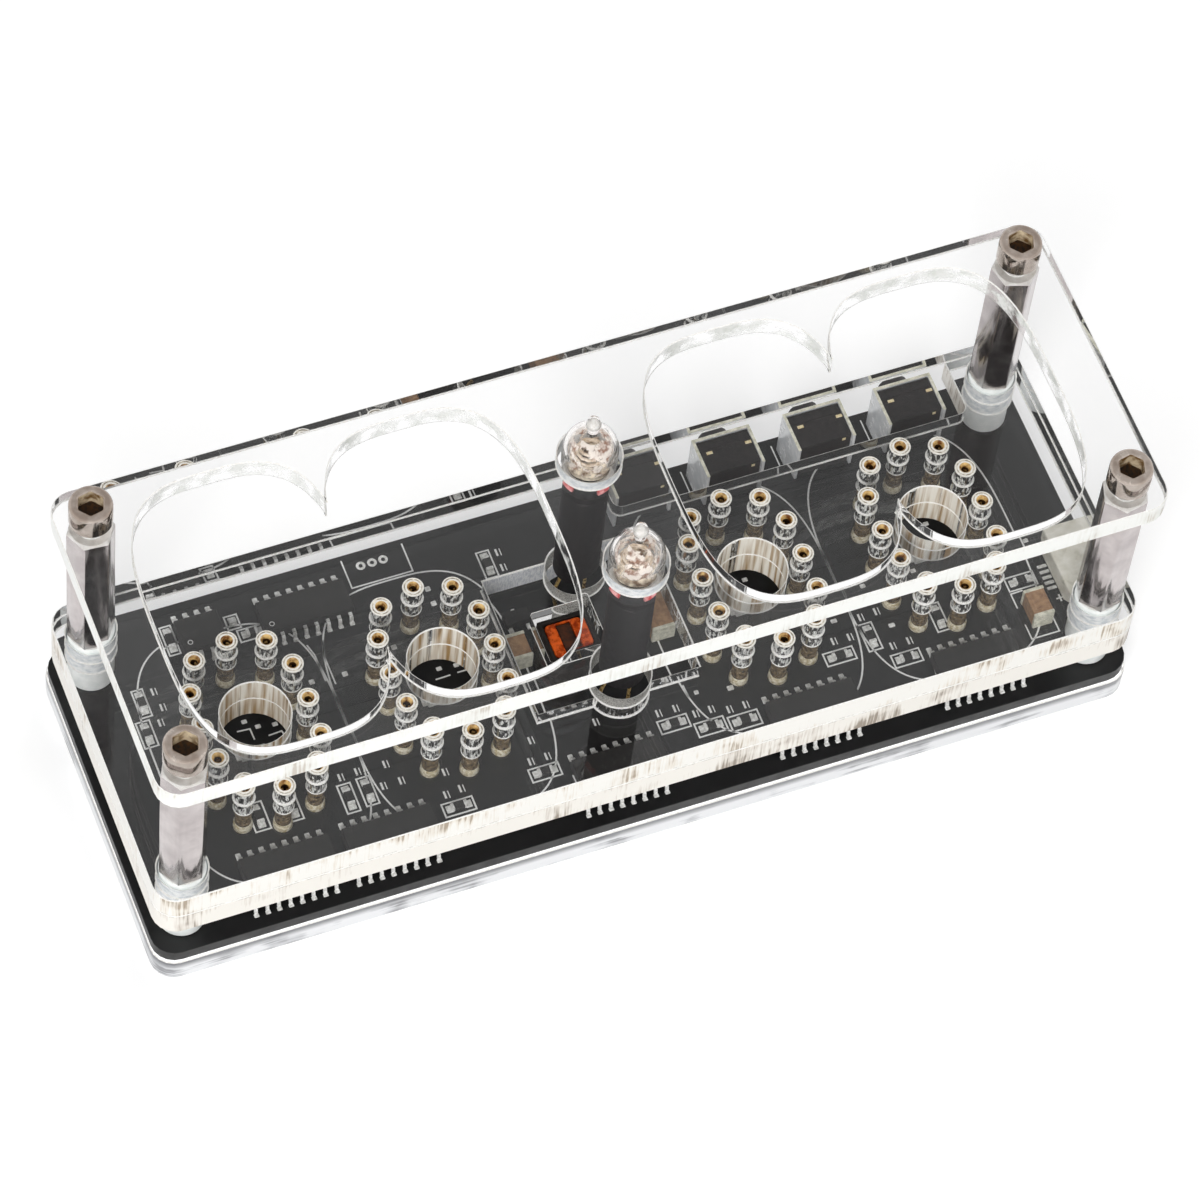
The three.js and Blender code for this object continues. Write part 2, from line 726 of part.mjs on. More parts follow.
// One bent lead in side view, extruded to its width
function gullWing(x, side) {
  const root = CHIP_BODY_DEPTH / 2 - CHIP_LEAD_THICKNESS;
  const shoulder = CHIP_BODY_DEPTH / 2 + CHIP_SHOULDER_REACH;
  const tip = CHIP_SPAN / 2;
  const outline = new THREE.Shape([
    new THREE.Vector2(root, CHIP_LEAD_TOP),
    new THREE.Vector2(root, CHIP_LEAD_TOP - CHIP_LEAD_THICKNESS),
    new THREE.Vector2(shoulder - CHIP_LEAD_THICKNESS, CHIP_LEAD_TOP - CHIP_LEAD_THICKNESS),
    new THREE.Vector2(tip - CHIP_FOOT_LENGTH, 0),
    new THREE.Vector2(tip, 0),
    new THREE.Vector2(shoulder, CHIP_LEAD_TOP),
  ]);
  const lead = new THREE.ExtrudeGeometry(outline, {
    depth: CHIP_LEAD_WIDTH,
    bevelEnabled: false,
  });
  lead.translate(0, 0, -CHIP_LEAD_WIDTH / 2);
  lead.rotateX(Math.PI / 2);
  lead.rotateZ((side * Math.PI) / 2);
  return toSolid(lead.translate(x, 0, 0));
}

function gullWingChip(leadsPerSide) {
  const leadSpan = (leadsPerSide - 1) * LEAD_PITCH;
  const length = leadSpan + 2 * CHIP_END_MARGIN;
  const pieces = [boxAt(length, CHIP_BODY_DEPTH, CHIP_BODY_HEIGHT, 0, 0, CHIP_STAND_OFF)];
  for (let index = 0; index < leadsPerSide; index++) {
    const x = index * LEAD_PITCH - leadSpan / 2;
    pieces.push(gullWing(x, 1), gullWing(x, -1));
  }
  return joinAll(pieces);
}

// Ceramic block with raised metal ends, standing on the board
function chipCapacitor(width, length) {
  const end = CAPACITOR_END;
  const step = CAPACITOR_END_STEP;
  const endY = (length - end) / 2;
  const ends = [-endY, endY].map((y) =>
    boxAt(width + 2 * step, end, CAPACITOR_HEIGHT, 0, y, 0),
  );
  return joinAll([
    boxAt(width, length - end, CAPACITOR_HEIGHT - 2 * step, 0, 0, step),
    ...ends,
  ]);
}

function boostTransistor() {
  const footY = (TRANSISTOR_DEPTH + TRANSISTOR_FOOT_REACH) / 2;
  const foot = (x, y) =>
    boxAt(
      TRANSISTOR_FOOT_WIDTH,
      TRANSISTOR_FOOT_REACH + TRANSISTOR_FOOT_THICKNESS,
      TRANSISTOR_FOOT_THICKNESS,
      x,
      y,
      0,
    );
  return joinAll([
    boxAt(TRANSISTOR_LENGTH, TRANSISTOR_DEPTH, TRANSISTOR_HEIGHT, 0, 0, 0),
    foot(-TRANSISTOR_FOOT_PITCH, -footY),
    foot(TRANSISTOR_FOOT_PITCH, -footY),
    foot(0, footY),
  ]);
}

// Sheet-metal shell of the inlet: outline in Y and Z, extruded along X
function inletOutline(inset) {
  const half = INLET_WIDTH / 2 - inset;
  const top = INLET_HEIGHT - inset;
  const chamfer = INLET_CHAMFER;
  return new THREE.Shape([
    new THREE.Vector2(-half + chamfer, inset),
    new THREE.Vector2(half - chamfer, inset),
    new THREE.Vector2(half, inset + chamfer),
    new THREE.Vector2(half, top),
    new THREE.Vector2(-half, top),
    new THREE.Vector2(-half, inset + chamfer),
  ]);
}

function alongX(shape, length) {
  const bar = new THREE.ExtrudeGeometry(shape, { depth: length, bevelEnabled: false });
  bar.rotateX(Math.PI / 2);
  bar.rotateZ(Math.PI / 2);
  return toSolid(bar);
}

// The inlet's local frame: X zero at its back, its mouth towards +X
function inletShell() {
  const hollow = alongX(inletOutline(INLET_SHEET), INLET_DEPTH + CUT_OVERRUN);
  return alongX(inletOutline(0), INLET_DEPTH).subtract(
    hollow.translate([INLET_SHEET, 0, 0]),
  );
}

function inletTongue() {
  const gap = BORE_GAP;
  const blockHeight = INLET_HEIGHT - 2 * INLET_SHEET - 2 * gap;
  const bottom = INLET_SHEET + gap;
  const start = INLET_SHEET + gap;
  const tongueLength = INLET_DEPTH - INLET_TONGUE_SETBACK - start;
  const middle = bottom + blockHeight / 2 - INLET_TONGUE_THICKNESS / 2;
  return joinAll([
    boxAt(
      INLET_BACK_BLOCK,
      INLET_TONGUE_WIDTH,
      blockHeight,
      start + INLET_BACK_BLOCK / 2,
      0,
      bottom,
    ),
    boxAt(
      tongueLength,
      INLET_TONGUE_WIDTH,
      INLET_TONGUE_THICKNESS,
      start + tongueLength / 2,
      0,
      middle,
    ),
  ]);
}

// Finishes, read from the photograph
function finish(color, roughness, metalness, opacity = 1) {
  return { color, roughness, metalness, opacity, transparent: opacity < 1 };
}
const finishes = {
  clearSheet: finish(0xf2f5f6, 0.05, 0, 0.3),
  board: finish(0x1b1a1b, 0.55, 0),
  nylon: finish(0xe4e6e1, 0.45, 0),
  nickel: finish(0xcfc9c6, 0.25, 1),
  steel: finish(0xb9b2a8, 0.3, 1),
  socketTin: finish(0xe9e2d2, 0.3, 1),
  ledWhite: finish(0xeeeeea, 0.5, 0),
  glass: finish(0xf4f0ea, 0.03, 0, 0.35),
  sleeve: finish(0x2a2728, 0.7, 0),
  switchBlack: finish(0x262322, 0.6, 0),
  bracket: finish(0xc9c6b4, 0.35, 1),
  chipBlack: finish(0x2c2b29, 0.6, 0),
  ceramic: finish(0x7a5a46, 0.45, 0),
  inlet: finish(0xc8c4b2, 0.3, 1),
  ferrite: finish(0x17130f, 0.7, 0),
  copper: finish(0xc8601c, 0.35, 0.8),
};

const clock = new THREE.Group();

function place(name, solid, finishName, x, y, z) {
  const mesh = new THREE.Mesh(
    toGeometry(solid),
    new THREE.MeshStandardMaterial(finishes[finishName]),
  );
  mesh.name = name;
  mesh.position.set(x, y, z);
  clock.add(mesh);
}

place("base_plate", basePlate(), "clearSheet", 0, 0, 0);
place("circuit_board", circuitBoard(), "board", 0, 0, boardBottom);
place("lower_cover_plate", lowerCoverPlate(), "clearSheet", 0, 0, lowerCoverBottom);
place("upper_cover_plate", upperCoverPlate(), "clearSheet", 0, 0, upperCoverBottom);
place("top_plate", topPlate(), "clearSheet", 0, 0, topPlateBottom);

columnPlaces.forEach(([x, y], index) => {
  const number = index + 1;
  place(`spacer_${number}`, spacer(), "nylon", x, y, boardTop);
  place(`standoff_${number}`, standoff(STANDOFF_TURNS[index]), "nickel", x, y, standoffBottom);
  place(`top_screw_${number}`, topScrew(), "steel", x, y, topPlateTop);
  place(`bottom_screw_${number}`, bottomScrew(), "steel", x, y, 0);
});

tubeXs.forEach((x, index) => {
  const number = index + 1;
  place(`tube_socket_${number}`, tubeSockets(), "socketTin", x, 0, boardTop);
  place(`digit_led_${number}`, digitLed(), "ledWhite", x, 0, boardTop);
});

for (const [where, y] of Object.entries(lampYs)) {
  place(`lamp_bulb_${where}`, lampBulb(), "glass", LAMP_X, y, 0);
  place(`lamp_sleeve_${where}`, lampSleeve(), "sleeve", LAMP_X, y, sleeveBottom);
}

for (let index = 0; index < SWITCH_COUNT; index++) {
  const number = index + 1;
  const x = firstSwitchX + index * SWITCH_PITCH;
  place(`switch_body_${number}`, switchBody(), "switchBlack", x, switchBackY, boardTop);
  place(`switch_bracket_${number}`, switchBracket(), "bracket", x, switchBackY, boardTop);
  place(`button_plunger_${number}`, buttonPlunger(), "switchBlack", x, switchBackY, boardTop);
}

driverChipXs.forEach((x, index) => {
  const name = `driver_chip_${index + 1}`;
  const y = -DRIVER_ROW_SHARE * sheetDepth;
  place(name, gullWingChip(WIDE_CHIP_LEAD_COUNT), "chipBlack", x, y, boardTop);
});
place(
  "controller_chip",
  gullWingChip(WIDE_CHIP_LEAD_COUNT),
  "chipBlack",
  timekeeperX + CONTROLLER_STEP,
  CONTROLLER_ROW_SHARE * sheetDepth,
  boardTop,
);
place(
  "timekeeper_chip",
  gullWingChip(NARROW_CHIP_LEAD_COUNT),
  "chipBlack",
  timekeeperX,
  TIMEKEEPER_ROW_SHARE * sheetDepth,
  boardTop,
);

place(
  "supply_capacitor",
  chipCapacitor(SUPPLY_CAPACITOR_WIDTH, SUPPLY_CAPACITOR_LENGTH),
  "ceramic",
  SUPPLY_CAPACITOR_X,
  SUPPLY_CAPACITOR_Y,
  boardTop,
);
place(
  "boost_capacitor",
  chipCapacitor(BOOST_CAPACITOR_WIDTH, BOOST_CAPACITOR_LENGTH),
  "ceramic",
  BOOST_CAPACITOR_X,
  BOOST_CAPACITOR_Y,
  boardTop,
);
place(
  "inlet_capacitor",
  chipCapacitor(INLET_CAPACITOR_WIDTH, INLET_CAPACITOR_LENGTH),
  "ceramic",
  columnX - INLET_CAPACITOR_FROM_COLUMN_X,
  INLET_CAPACITOR_FROM_COLUMN_Y - columnY,
  boardTop,
);
place("boost_transistor", boostTransistor(), "chipBlack", TRANSISTOR_X, TRANSISTOR_Y, boardTop);

place("inductor_case", inductorCase(), "ferrite", INDUCTOR_X, INDUCTOR_Y, boardTop);
place(
  "inductor_winding",
  inductorWinding(),
  "copper",
  INDUCTOR_X,
  INDUCTOR_Y,
  upperCoverTop - INDUCTOR_BELOW_COVER_TOP - WINDING_SHOWN_DEPTH,
);

const inletX = boardLength / 2 + INLET_PROUD - INLET_DEPTH;
const inletY = INLET_FROM_COLUMN_Y - columnY;
place("power_inlet_shell", inletShell(), "inlet", inletX, inletY, boardTop);
place("power_inlet_tongue", inletTongue(), "switchBlack", inletX, inletY, boardTop);

export default clock;
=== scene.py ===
import math

import bmesh
import bpy
from mathutils import Matrix, Vector
from mathutils.geometry import tessellate_polygon


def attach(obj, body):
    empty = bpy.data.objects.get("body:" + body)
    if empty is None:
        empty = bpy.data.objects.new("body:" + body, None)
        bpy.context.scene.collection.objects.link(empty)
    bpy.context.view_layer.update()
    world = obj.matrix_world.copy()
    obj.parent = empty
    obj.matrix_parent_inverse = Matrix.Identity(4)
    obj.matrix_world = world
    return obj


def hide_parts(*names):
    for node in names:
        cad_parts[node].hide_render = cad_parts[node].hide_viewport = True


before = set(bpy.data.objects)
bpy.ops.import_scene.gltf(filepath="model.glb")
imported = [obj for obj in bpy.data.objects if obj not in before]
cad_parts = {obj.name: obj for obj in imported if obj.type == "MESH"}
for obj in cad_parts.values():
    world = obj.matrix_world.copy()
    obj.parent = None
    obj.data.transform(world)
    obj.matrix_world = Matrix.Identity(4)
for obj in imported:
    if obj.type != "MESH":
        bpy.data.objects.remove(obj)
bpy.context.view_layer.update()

MM = 0.001
PER_MM = 1000.0
SMOOTH_ANGLE = math.radians(35)

# Heights of the stack
BASE_TOP = 3.2
BOARD_TOP = 4.8
LOWER_BOTTOM = 8.8
COVER_JOINT = 12.1
COVER_TOP = 15.4
HEX_BOTTOM = 15.6
TOP_BOTTOM = 35.15
TOP_TOP = 37.8

# Plan
COLUMNS = [(-51.3, 14.7), (51.3, 14.7), (-51.3, -14.7), (51.3, -14.7)]
HEX_TURNS = [26, 12, 32, 41]
TUBE_XS = [-38.25, -17.5, 17.5, 38.25]
LAMP_X = -0.35
LAMPS = {"back": 6.0, "front": -7.45}
LAMP_HOLE = 6.4
SWITCH_XS = [10.6, 21.2, 31.8, 42.4]
DRIVER_XS = [-39.45, -28.1, -2.45, 19.6, 38.65]
DRIVER_Y = -14.4
SOCKET_RING = [
    (0, 9.15), (4.0, 7.95), (5.65, 4.4), (5.8, 0), (5.65, -4.4), (4.0, -7.95),
    (0, -9.15), (-4.0, -7.95), (-5.65, -4.4), (-5.8, 0), (-5.65, 4.4), (-4.0, 7.95),
]


# ---- outlines


def polar(radius, angle, x=0.0, y=0.0):
    return Vector((x + radius * math.cos(angle), y + radius * math.sin(angle)))


def circle(x, y, diameter, sides=32):
    return [polar(diameter / 2, 2 * math.pi * i / sides, x, y) for i in range(sides)]


def rounded(x0, x1, y0, y1, radius, steps=5):
    """Rectangle with round corners, anticlockwise."""
    right, left, front, back = x1 - radius, x0 + radius, y0 + radius, y1 - radius
    points = []
    corners = ((right, front, -90), (right, back, 0), (left, back, 90), (left, front, 180))
    for x, y, start in corners:
        for i in range(steps + 1):
            points.append(polar(radius, math.radians(start + 90 * i / steps), x, y))
    return points


OVAL_POWER = 3.2


def oval(x, half_width, half_depth, steps=96):
    """Curve between an ellipse and a rectangle."""

    def bent(share):
        return math.copysign(abs(share) ** (2 / OVAL_POWER), share)

    points = []
    for i in range(steps):
        angle = 2 * math.pi * i / steps
        across, along = bent(math.cos(angle)), bent(math.sin(angle))
        points.append(Vector((x + half_width * across, half_depth * along)))
    return points


def two_lobes(x_left, x_right, half_width, half_depth):
    """Outline of two ovals run together, with a cusp between them."""
    middle = (x_left + x_right) / 2
    share = 1 - ((middle - x_left) / half_width) ** OVAL_POWER
    cusp = half_depth * share ** (1 / OVAL_POWER)
    right = [p for p in oval(x_right, half_width, half_depth) if p.x > middle]
    right.sort(key=lambda p: math.atan2(p.y, p.x - x_right))
    left = [p for p in oval(x_left, half_width, half_depth) if p.x < middle]
    left.sort(key=lambda p: math.atan2(p.y, p.x - x_left) % (2 * math.pi))
    return [Vector((middle, -cusp)), *right, Vector((middle, cusp)), *left]


SHARPEST_LEAN = 0.35


def moved_out(loop, distance):
    """An anticlockwise loop, moved outwards along its own normals."""
    moved = []
    for i, point in enumerate(loop):
        back = (point - loop[i - 1]).normalized()
        ahead = (loop[(i + 1) % len(loop)] - point).normalized()
        normal = Vector((back.y + ahead.y, -back.x - ahead.x)).normalized()
        lean = max(normal.dot(Vector((back.y, -back.x))), SHARPEST_LEAN)
        moved.append(point + normal * distance / lean)
    return moved


def level(loop, z):
    """A loop as points at one height."""
    return [(p.x, p.y, z) for p in loop]


def dome(radius, height, steps, degrees):
    """Profile of a dome over that height, by steps of some degrees from its foot."""
    return [tuple(polar(radius, math.radians(step * degrees), 0, height)) for step in steps]


def spun(degrees, axis="Z"):
    return Matrix.Rotation(math.radians(degrees), 4, axis)


# ---- shapes


class Shape:
    """Faces of one piece, in millimetres, each with the number of its material."""

    def __init__(self):
        self.points = []
        self.faces = []
        self.slots = []
        self.inward = []
        self.here = Matrix()

    def at(self, x, y, z, turn=None):
        self.here = Matrix.Translation((x, y, z)) @ (turn or Matrix())
        return self

    def add(self, points, faces, slot=0):
        start = len(self.points)
        self.points += [self.here @ Vector(p) for p in points]
        self.faces += [[start + i for i in face] for face in faces]
        self.slots += [slot] * len(faces)

    def rings(self, rings, slots, closed=False):
        """Skin over rings of equal length, a ring of one point being a pole."""
        starts = []
        for ring in rings:
            starts.append(len(self.points))
            self.add(ring, [])
        pairs = list(zip(range(len(rings)), range(1, len(rings))))
        if closed:
            pairs.append((len(rings) - 1, 0))
        for index, (a, b) in enumerate(pairs):
            below, above = len(rings[a]), len(rings[b])
            count = max(below, above)
            for i in range(count):
                low = dict.fromkeys(starts[a] + k % below for k in (i, i + 1))
                high = dict.fromkeys(starts[b] + k % above for k in (i + 1, i))
                self.faces.append([*low, *high])
            slot = slots[index] if isinstance(slots, list) else slots
            self.slots += [slot] * count
        return starts[0]

    def turned(self, profile, slots=0, sides=32, closed=False):
        """Profile of (radius, height) turned about Z; a radius of 0 makes a pole."""
        rings = []
        for radius, height in profile:
            ring = circle(0, 0, 2 * radius, sides) if radius else [Vector((0, 0))]
            rings.append(level(ring, height))
        self.rings(rings, slots, closed)

    def sheet(self, outline, z0, z1, edge=0.1, holes=(), face=0, wall=None, rim=None):
        """Flat sheet with broken edges; a hole is (loop, wall's slot, rims' widths)."""
        wall = face if wall is None else wall
        rim = wall if rim is None else rim
        loops, low, high = [], [], []
        for number, (loop, slot, inset) in enumerate([(outline, wall, edge), *holes]):
            side = -1 if number == 0 else 1
            under, over = inset if isinstance(inset, tuple) else (inset, inset)
            rings = []
            for z, step in ((z0, under), (z0 + under, 0), (z1 - over, 0), (z1, over)):
                rings.append(level(moved_out(loop, side * step) if step else loop, z))
            start = self.rings(rings, [rim, slot, rim])
            low += range(start, start + len(loop))
            high += range(start + 3 * len(loop), start + 4 * len(loop))
            loops.append(rings[0])
        for triangle in tessellate_polygon(loops):
            self.faces.append([low[i] for i in triangle])
            self.faces.append([high[i] for i in reversed(triangle)])
            self.slots += [face, face]

    def block(self, x0, x1, y0, y1, z0, z1, edge=0.1, slot=0):
        """Box with broken edges; x and y may come in either order."""
        outline = rounded(*sorted((x0, x1)), *sorted((y0, y1)), edge, 2)
        self.sheet(outline, z0, z1, edge * 0.6, face=slot)

    def wire(self, path, radius, slot=0, sides=10):
        """Round wire along a path, closed at both ends."""
        path = [Vector(p) for p in path]
        side = Vector((0, 0, 1))
        if abs((path[1] - path[0]).normalized().z) > 0.9:
            side = Vector((1, 0, 0))
        rings = []
        for i, point in enumerate(path):
            ahead = path[min(i + 1, len(path) - 1)] - path[max(i - 1, 0)]
            ahead.normalize()
            side = (side - ahead * side.dot(ahead)).normalized()
            other = ahead.cross(side)
            section = circle(0, 0, 2 * radius, sides)
            rings.append([point + side * p.x + other * p.y for p in section])
        self.rings([[path[0]], *rings, [path[-1]]], slot)

    def line(self, path, width, z, slot=0, closed=False):
        """Flat printed line."""
        path = [Vector((p[0], p[1])) for p in path]
        left, right = [], []
        count = len(path)
        for i, point in enumerate(path):
            before = path[i - 1] if closed or i else point
            after = path[(i + 1) % count] if closed or i < count - 1 else point
            back = point - before if point != before else after - point
            ahead = after - point if after != point else back
            back, ahead = back.normalized(), ahead.normalized()
            normal = Vector((-back.y - ahead.y, back.x + ahead.x)).normalized()
            lean = max(normal.dot(Vector((-back.y, back.x))), SHARPEST_LEAN)
            step = normal * width / 2 / lean
            left.append(point + step)
            right.append(point - step)
        faces = []
        for i in range(count if closed else count - 1):
            j = (i + 1) % count
            faces.append([i, j, count + j, count + i])
        self.add(level(left + right, z), faces, slot)

    def patch(self, outline, z, slot=0):
        """Flat printed patch."""
        self.add(level(outline, z), [list(range(len(outline)))], slot)


def mesh_of(name, shape, materials):
    mesh = bpy.data.meshes.new(name)
    mesh.from_pydata([p * MM for p in shape.points], [], shape.faces)
    for material in materials:
        mesh.materials.append(material)
    mesh.polygons.foreach_set("material_index", shape.slots)
    work = bmesh.new()
    work.from_mesh(mesh)
    bmesh.ops.recalc_face_normals(work, faces=work.faces)
    work.faces.ensure_lookup_table()
    bmesh.ops.reverse_faces(work, faces=[work.faces[i] for i in shape.inward])
    work.to_mesh(mesh)
    work.free()
    mesh.polygons.foreach_set("use_smooth", [True] * len(mesh.polygons))
    mesh.set_sharp_from_angle(angle=SMOOTH_ANGLE)
    return mesh


def placed(name, data):
    """An object of that data, in the scene."""
    obj = bpy.data.objects.new(name, data)
    bpy.context.scene.collection.objects.link(obj)
    return obj


def piece(name, shape, materials, nodes=(), body="clock"):
    """Makes a piece that rides on a body and stands for CAD nodes."""
    obj = placed(name, mesh_of(name, shape, materials))
    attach(obj, body)
    if nodes:
        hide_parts(*nodes)


# ---- materials


WHITE = (1, 1, 1, 1)
SHEET_IOR = 1.49
SEAM_BROWN = (84, 70, 52)


def linear(colour):
    """A colour of 0 to 255 steps, as the shader wants it."""
    parts = [c / 255 for c in colour]
    parts = [p / 12.92 if p <= 0.04045 else ((p + 0.055) / 1.055) ** 2.4 for p in parts]
    return (*parts, 1.0)


class Nodes:
    """A node tree, whose nodes' inputs are given values or other nodes' outputs."""

    def __init__(self, tree):
        self.tree = tree

    def give(self, socket, value):
        if isinstance(value, bpy.types.NodeSocket):
            self.tree.links.new(value, socket)
        else:
            socket.default_value = value

    def set(self, node, **sockets):
        for key, value in sockets.items():
            self.give(node.inputs[key.replace("_", " ")], value)

    def node(self, kind, *values, **sockets):
        """A new node, its inputs given in order or by name."""
        made = self.tree.nodes.new(kind)
        for socket, value in zip(made.inputs, values):
            self.give(socket, value)
        self.set(made, **sockets)
        return made

    def math(self, operation, first, second):
        made = self.node("ShaderNodeMath", first, second)
        made.operation = operation
        return made.outputs[0]

    def band(self, value, stops):
        """Colours over 0 to 1: stops are (place, linear colour)."""
        made = self.node("ShaderNodeValToRGB", Fac=value)
        elements = made.color_ramp.elements
        while len(elements) < len(stops):
            elements.new(0.5)
        for element, (place, colour) in zip(elements, stops):
            element.position = place
            element.color = colour
        return made.outputs["Color"]

    def blended(self, share, first, second):
        """A shader that a share of 0 to 1 leads over to a second one."""
        return self.node("ShaderNodeMixShader", share, first, second).outputs["Shader"]


class Finish(Nodes):
    """A material under construction, its Principled shader and its node tree."""

    def __init__(self, name, **sockets):
        self.material = bpy.data.materials.new(name)
        self.material.use_nodes = True
        super().__init__(self.material.node_tree)
        self.shader = self.tree.nodes["Principled BSDF"]
        self.set(self.shader, **sockets)
        self.surface = self.shader.outputs["BSDF"]
        self.space = self.node("ShaderNodeTexCoord").outputs["Object"]

    def stretched(self, x=1.0, y=1.0, z=1.0):
        """Object coordinates in millimetres, scaled along each axis."""
        scale = (x * PER_MM, y * PER_MM, z * PER_MM)
        mapping = self.node("ShaderNodeMapping", Vector=self.space, Scale=scale)
        return mapping.outputs["Vector"]

    def noise(self, per_mm, detail, stretch=(1, 1, 1)):
        where = self.stretched(*stretch)
        grain = self.node("ShaderNodeTexNoise", Vector=where, Scale=per_mm, Detail=detail)
        return grain.outputs["Fac"]

    def ramp(self, value, stops):
        """Colours over 0 to 1: stops are (place, colour of 0 to 255 steps)."""
        return self.band(value, [(place, linear(colour)) for place, colour in stops])

    def span(self, value, low, high, start=0.3, end=0.7):
        made = self.node("ShaderNodeMapRange", value, start, end, low, high)
        return made.outputs["Result"]

    def place(self):
        """Where a point lies, in millimetres, as the outputs X, Y and Z."""
        return self.node("ShaderNodeSeparateXYZ", self.stretched()).outputs

    def mixed(self, share, value, colour):
        """A colour, led by a share of 0 to 1 towards a fixed one."""
        blend = self.node("ShaderNodeMix")
        blend.data_type = "RGBA"
        self.set(blend, Factor=share, A=value, B=linear(colour))
        return blend.outputs["Result"]

    def bump(self, value, depth_mm, shader=None):
        made = self.node("ShaderNodeBump", Strength=1.0, Distance=depth_mm * MM, Height=value)
        self.set(shader or self.shader, Normal=made.outputs["Normal"])

    def second(self, **sockets):
        """Another Principled shader beside the material's own."""
        return self.node("ShaderNodeBsdfPrincipled", **sockets)

    def transparent(self):
        return self.node("ShaderNodeBsdfTransparent").outputs["BSDF"]

    def by_side(self, outside, within):
        """One shader for a face's outside, another as seen from within the plastic."""
        within_it = self.node("ShaderNodeNewGeometry").outputs["Backfacing"]
        return self.blended(within_it, outside, within)

    def shown(self, surface):
        """The material, finished with that surface."""
        self.set(self.tree.nodes["Material Output"], Surface=surface)
        return self.material

    def open_to_lamps(self, surface):
        """The material, with the lamps' light straight through, as thin plastic has it."""
        to_lamp = self.node("ShaderNodeLightPath").outputs["Is Shadow Ray"]
        return self.shown(self.blended(to_lamp, surface, self.transparent()))


def plain(
    name, dark, light, rough=(0.4, 0.6), per_mm=1.5, bump=0.01, metal=0.0, spread=0.15, fine=4
):
    """A finish that varies between two colours and two roughnesses."""
    look = Finish(name, Metallic=metal)
    grain = look.noise(per_mm, 4)
    colour = look.ramp(grain, [(0.5 - spread, dark), (0.5 + spread, light)])
    look.set(look.shader, Base_Color=colour, Roughness=look.span(grain, *rough))
    if bump:
        look.bump(look.noise(per_mm * fine, 3), bump)
    return look.material


def clear(name, tint=(255, 255, 255), ior=SHEET_IOR, wave=0.0006):
    """Clear plastic or glass with a faint waviness."""
    look = Finish(name, IOR=ior, Transmission_Weight=1.0, Base_Color=linear(tint))
    look.set(look.shader, Roughness=look.span(look.noise(0.15, 2), 0.0, 0.012))
    look.bump(look.noise(0.08, 1), wave)
    return look.open_to_lamps(look.surface)


def cut_wall(name, dark, mid, light, along=(1, 1, 0.05), per_mm=2.2, seam=0.0, painted_board_reflection=None):
    """Sawn edge of a clear sheet: milky and streaked outside, clear from within, with an
    optional painted reflection: a darker band between two heights.
    """
    look = Finish(name, IOR=SHEET_IOR, Roughness=0.0, Transmission_Weight=1.0)
    calm = look.span(look.noise(0.16, 3), -0.14, 0.3, 0.35, 0.6)
    streaks = look.math("ADD", look.noise(per_mm, 6, along), calm)
    colour = look.ramp(streaks, [(0.3, dark), (0.43, mid), (0.6, light)])
    height = look.place()["Z"]
    if seam:
        above = look.span(height, 0, 1, COVER_JOINT - seam, COVER_JOINT)
        below = look.span(height, 1, 0, COVER_JOINT, COVER_JOINT + seam)
        spots = look.span(look.noise(1.6, 2), 0.0, 1, 0.45, 0.6)
        line = look.math("MULTIPLY", above, below)
        colour = look.mixed(look.math("MULTIPLY", line, spots), colour, SEAM_BROWN)
    # Painted reflection of the dark board: the wall's colour darkens upwards towards a grey
    # tone between the two heights.
    if painted_board_reflection:
        low, high, tone = painted_board_reflection
        colour = look.mixed(look.span(height, 0, 0.8, low, high), colour, tone)
    milky = look.second(Roughness=0.3, Base_Color=colour)
    look.bump(look.noise(5, 3, (1, 1, 0.1)), 0.004, milky)
    return look.open_to_lamps(look.by_side(milky.outputs["BSDF"], look.surface))


def drilled(name, dim, light, start, end, stretch, per_mm, solid_back=None):
    """Wall of a drilled hole: clear, with streaks of white where the tool tore it."""
    look = Finish(name, IOR=SHEET_IOR, Roughness=0.05, Transmission_Weight=1.0)
    tone = look.ramp(look.noise(per_mm * 2, 2, stretch), [(0.35, dim), (0.6, light)])
    white = look.second(Roughness=0.4, Base_Color=tone).outputs["BSDF"]
    torn = look.span(look.noise(per_mm, 3, stretch), 0, 1, start, end)
    if solid_back is not None:
        back = look.span(look.place()["Y"], 0, 1, solid_back - 0.3, solid_back)
        torn = look.math("ADD", torn, back)
    return look.open_to_lamps(look.blended(torn, look.surface, white))


def painted_glints(name, dim, light, start, end, per_mm, glassy_within=False):
    """Painted highlights: bright marks with clear gaps between them, as round glass shows
    them.
    """
    look = Finish(name, Roughness=0.3)
    tone = look.ramp(look.noise(per_mm * 2, 2), [(0.38, dim), (0.56, light)])
    look.set(look.shader, Base_Color=tone)
    marks = look.span(look.noise(per_mm, 4), 0, 1, start, end)
    surface = look.blended(marks, look.transparent(), look.surface)
    if glassy_within:
        glass = look.second(IOR=SHEET_IOR, Roughness=0.0, Transmission_Weight=1.0)
        surface = look.by_side(surface, glass.outputs["BSDF"])
    return look.open_to_lamps(surface)


CLEAR = clear("clear_sheet_look")
TOP_WALL = cut_wall("top_wall_look", (206, 198, 186), (240, 240, 234), (250, 251, 247))
UPPER_WALL = cut_wall(
    "upper_wall_look", (172, 154, 132), (238, 231, 219), (250, 248, 242), per_mm=3.4, seam=0.3
)
LOWER_WALL = cut_wall(
    "lower_wall_look", (150, 136, 120), (222, 214, 203), (246, 242, 234), per_mm=3.4, seam=0.3
)
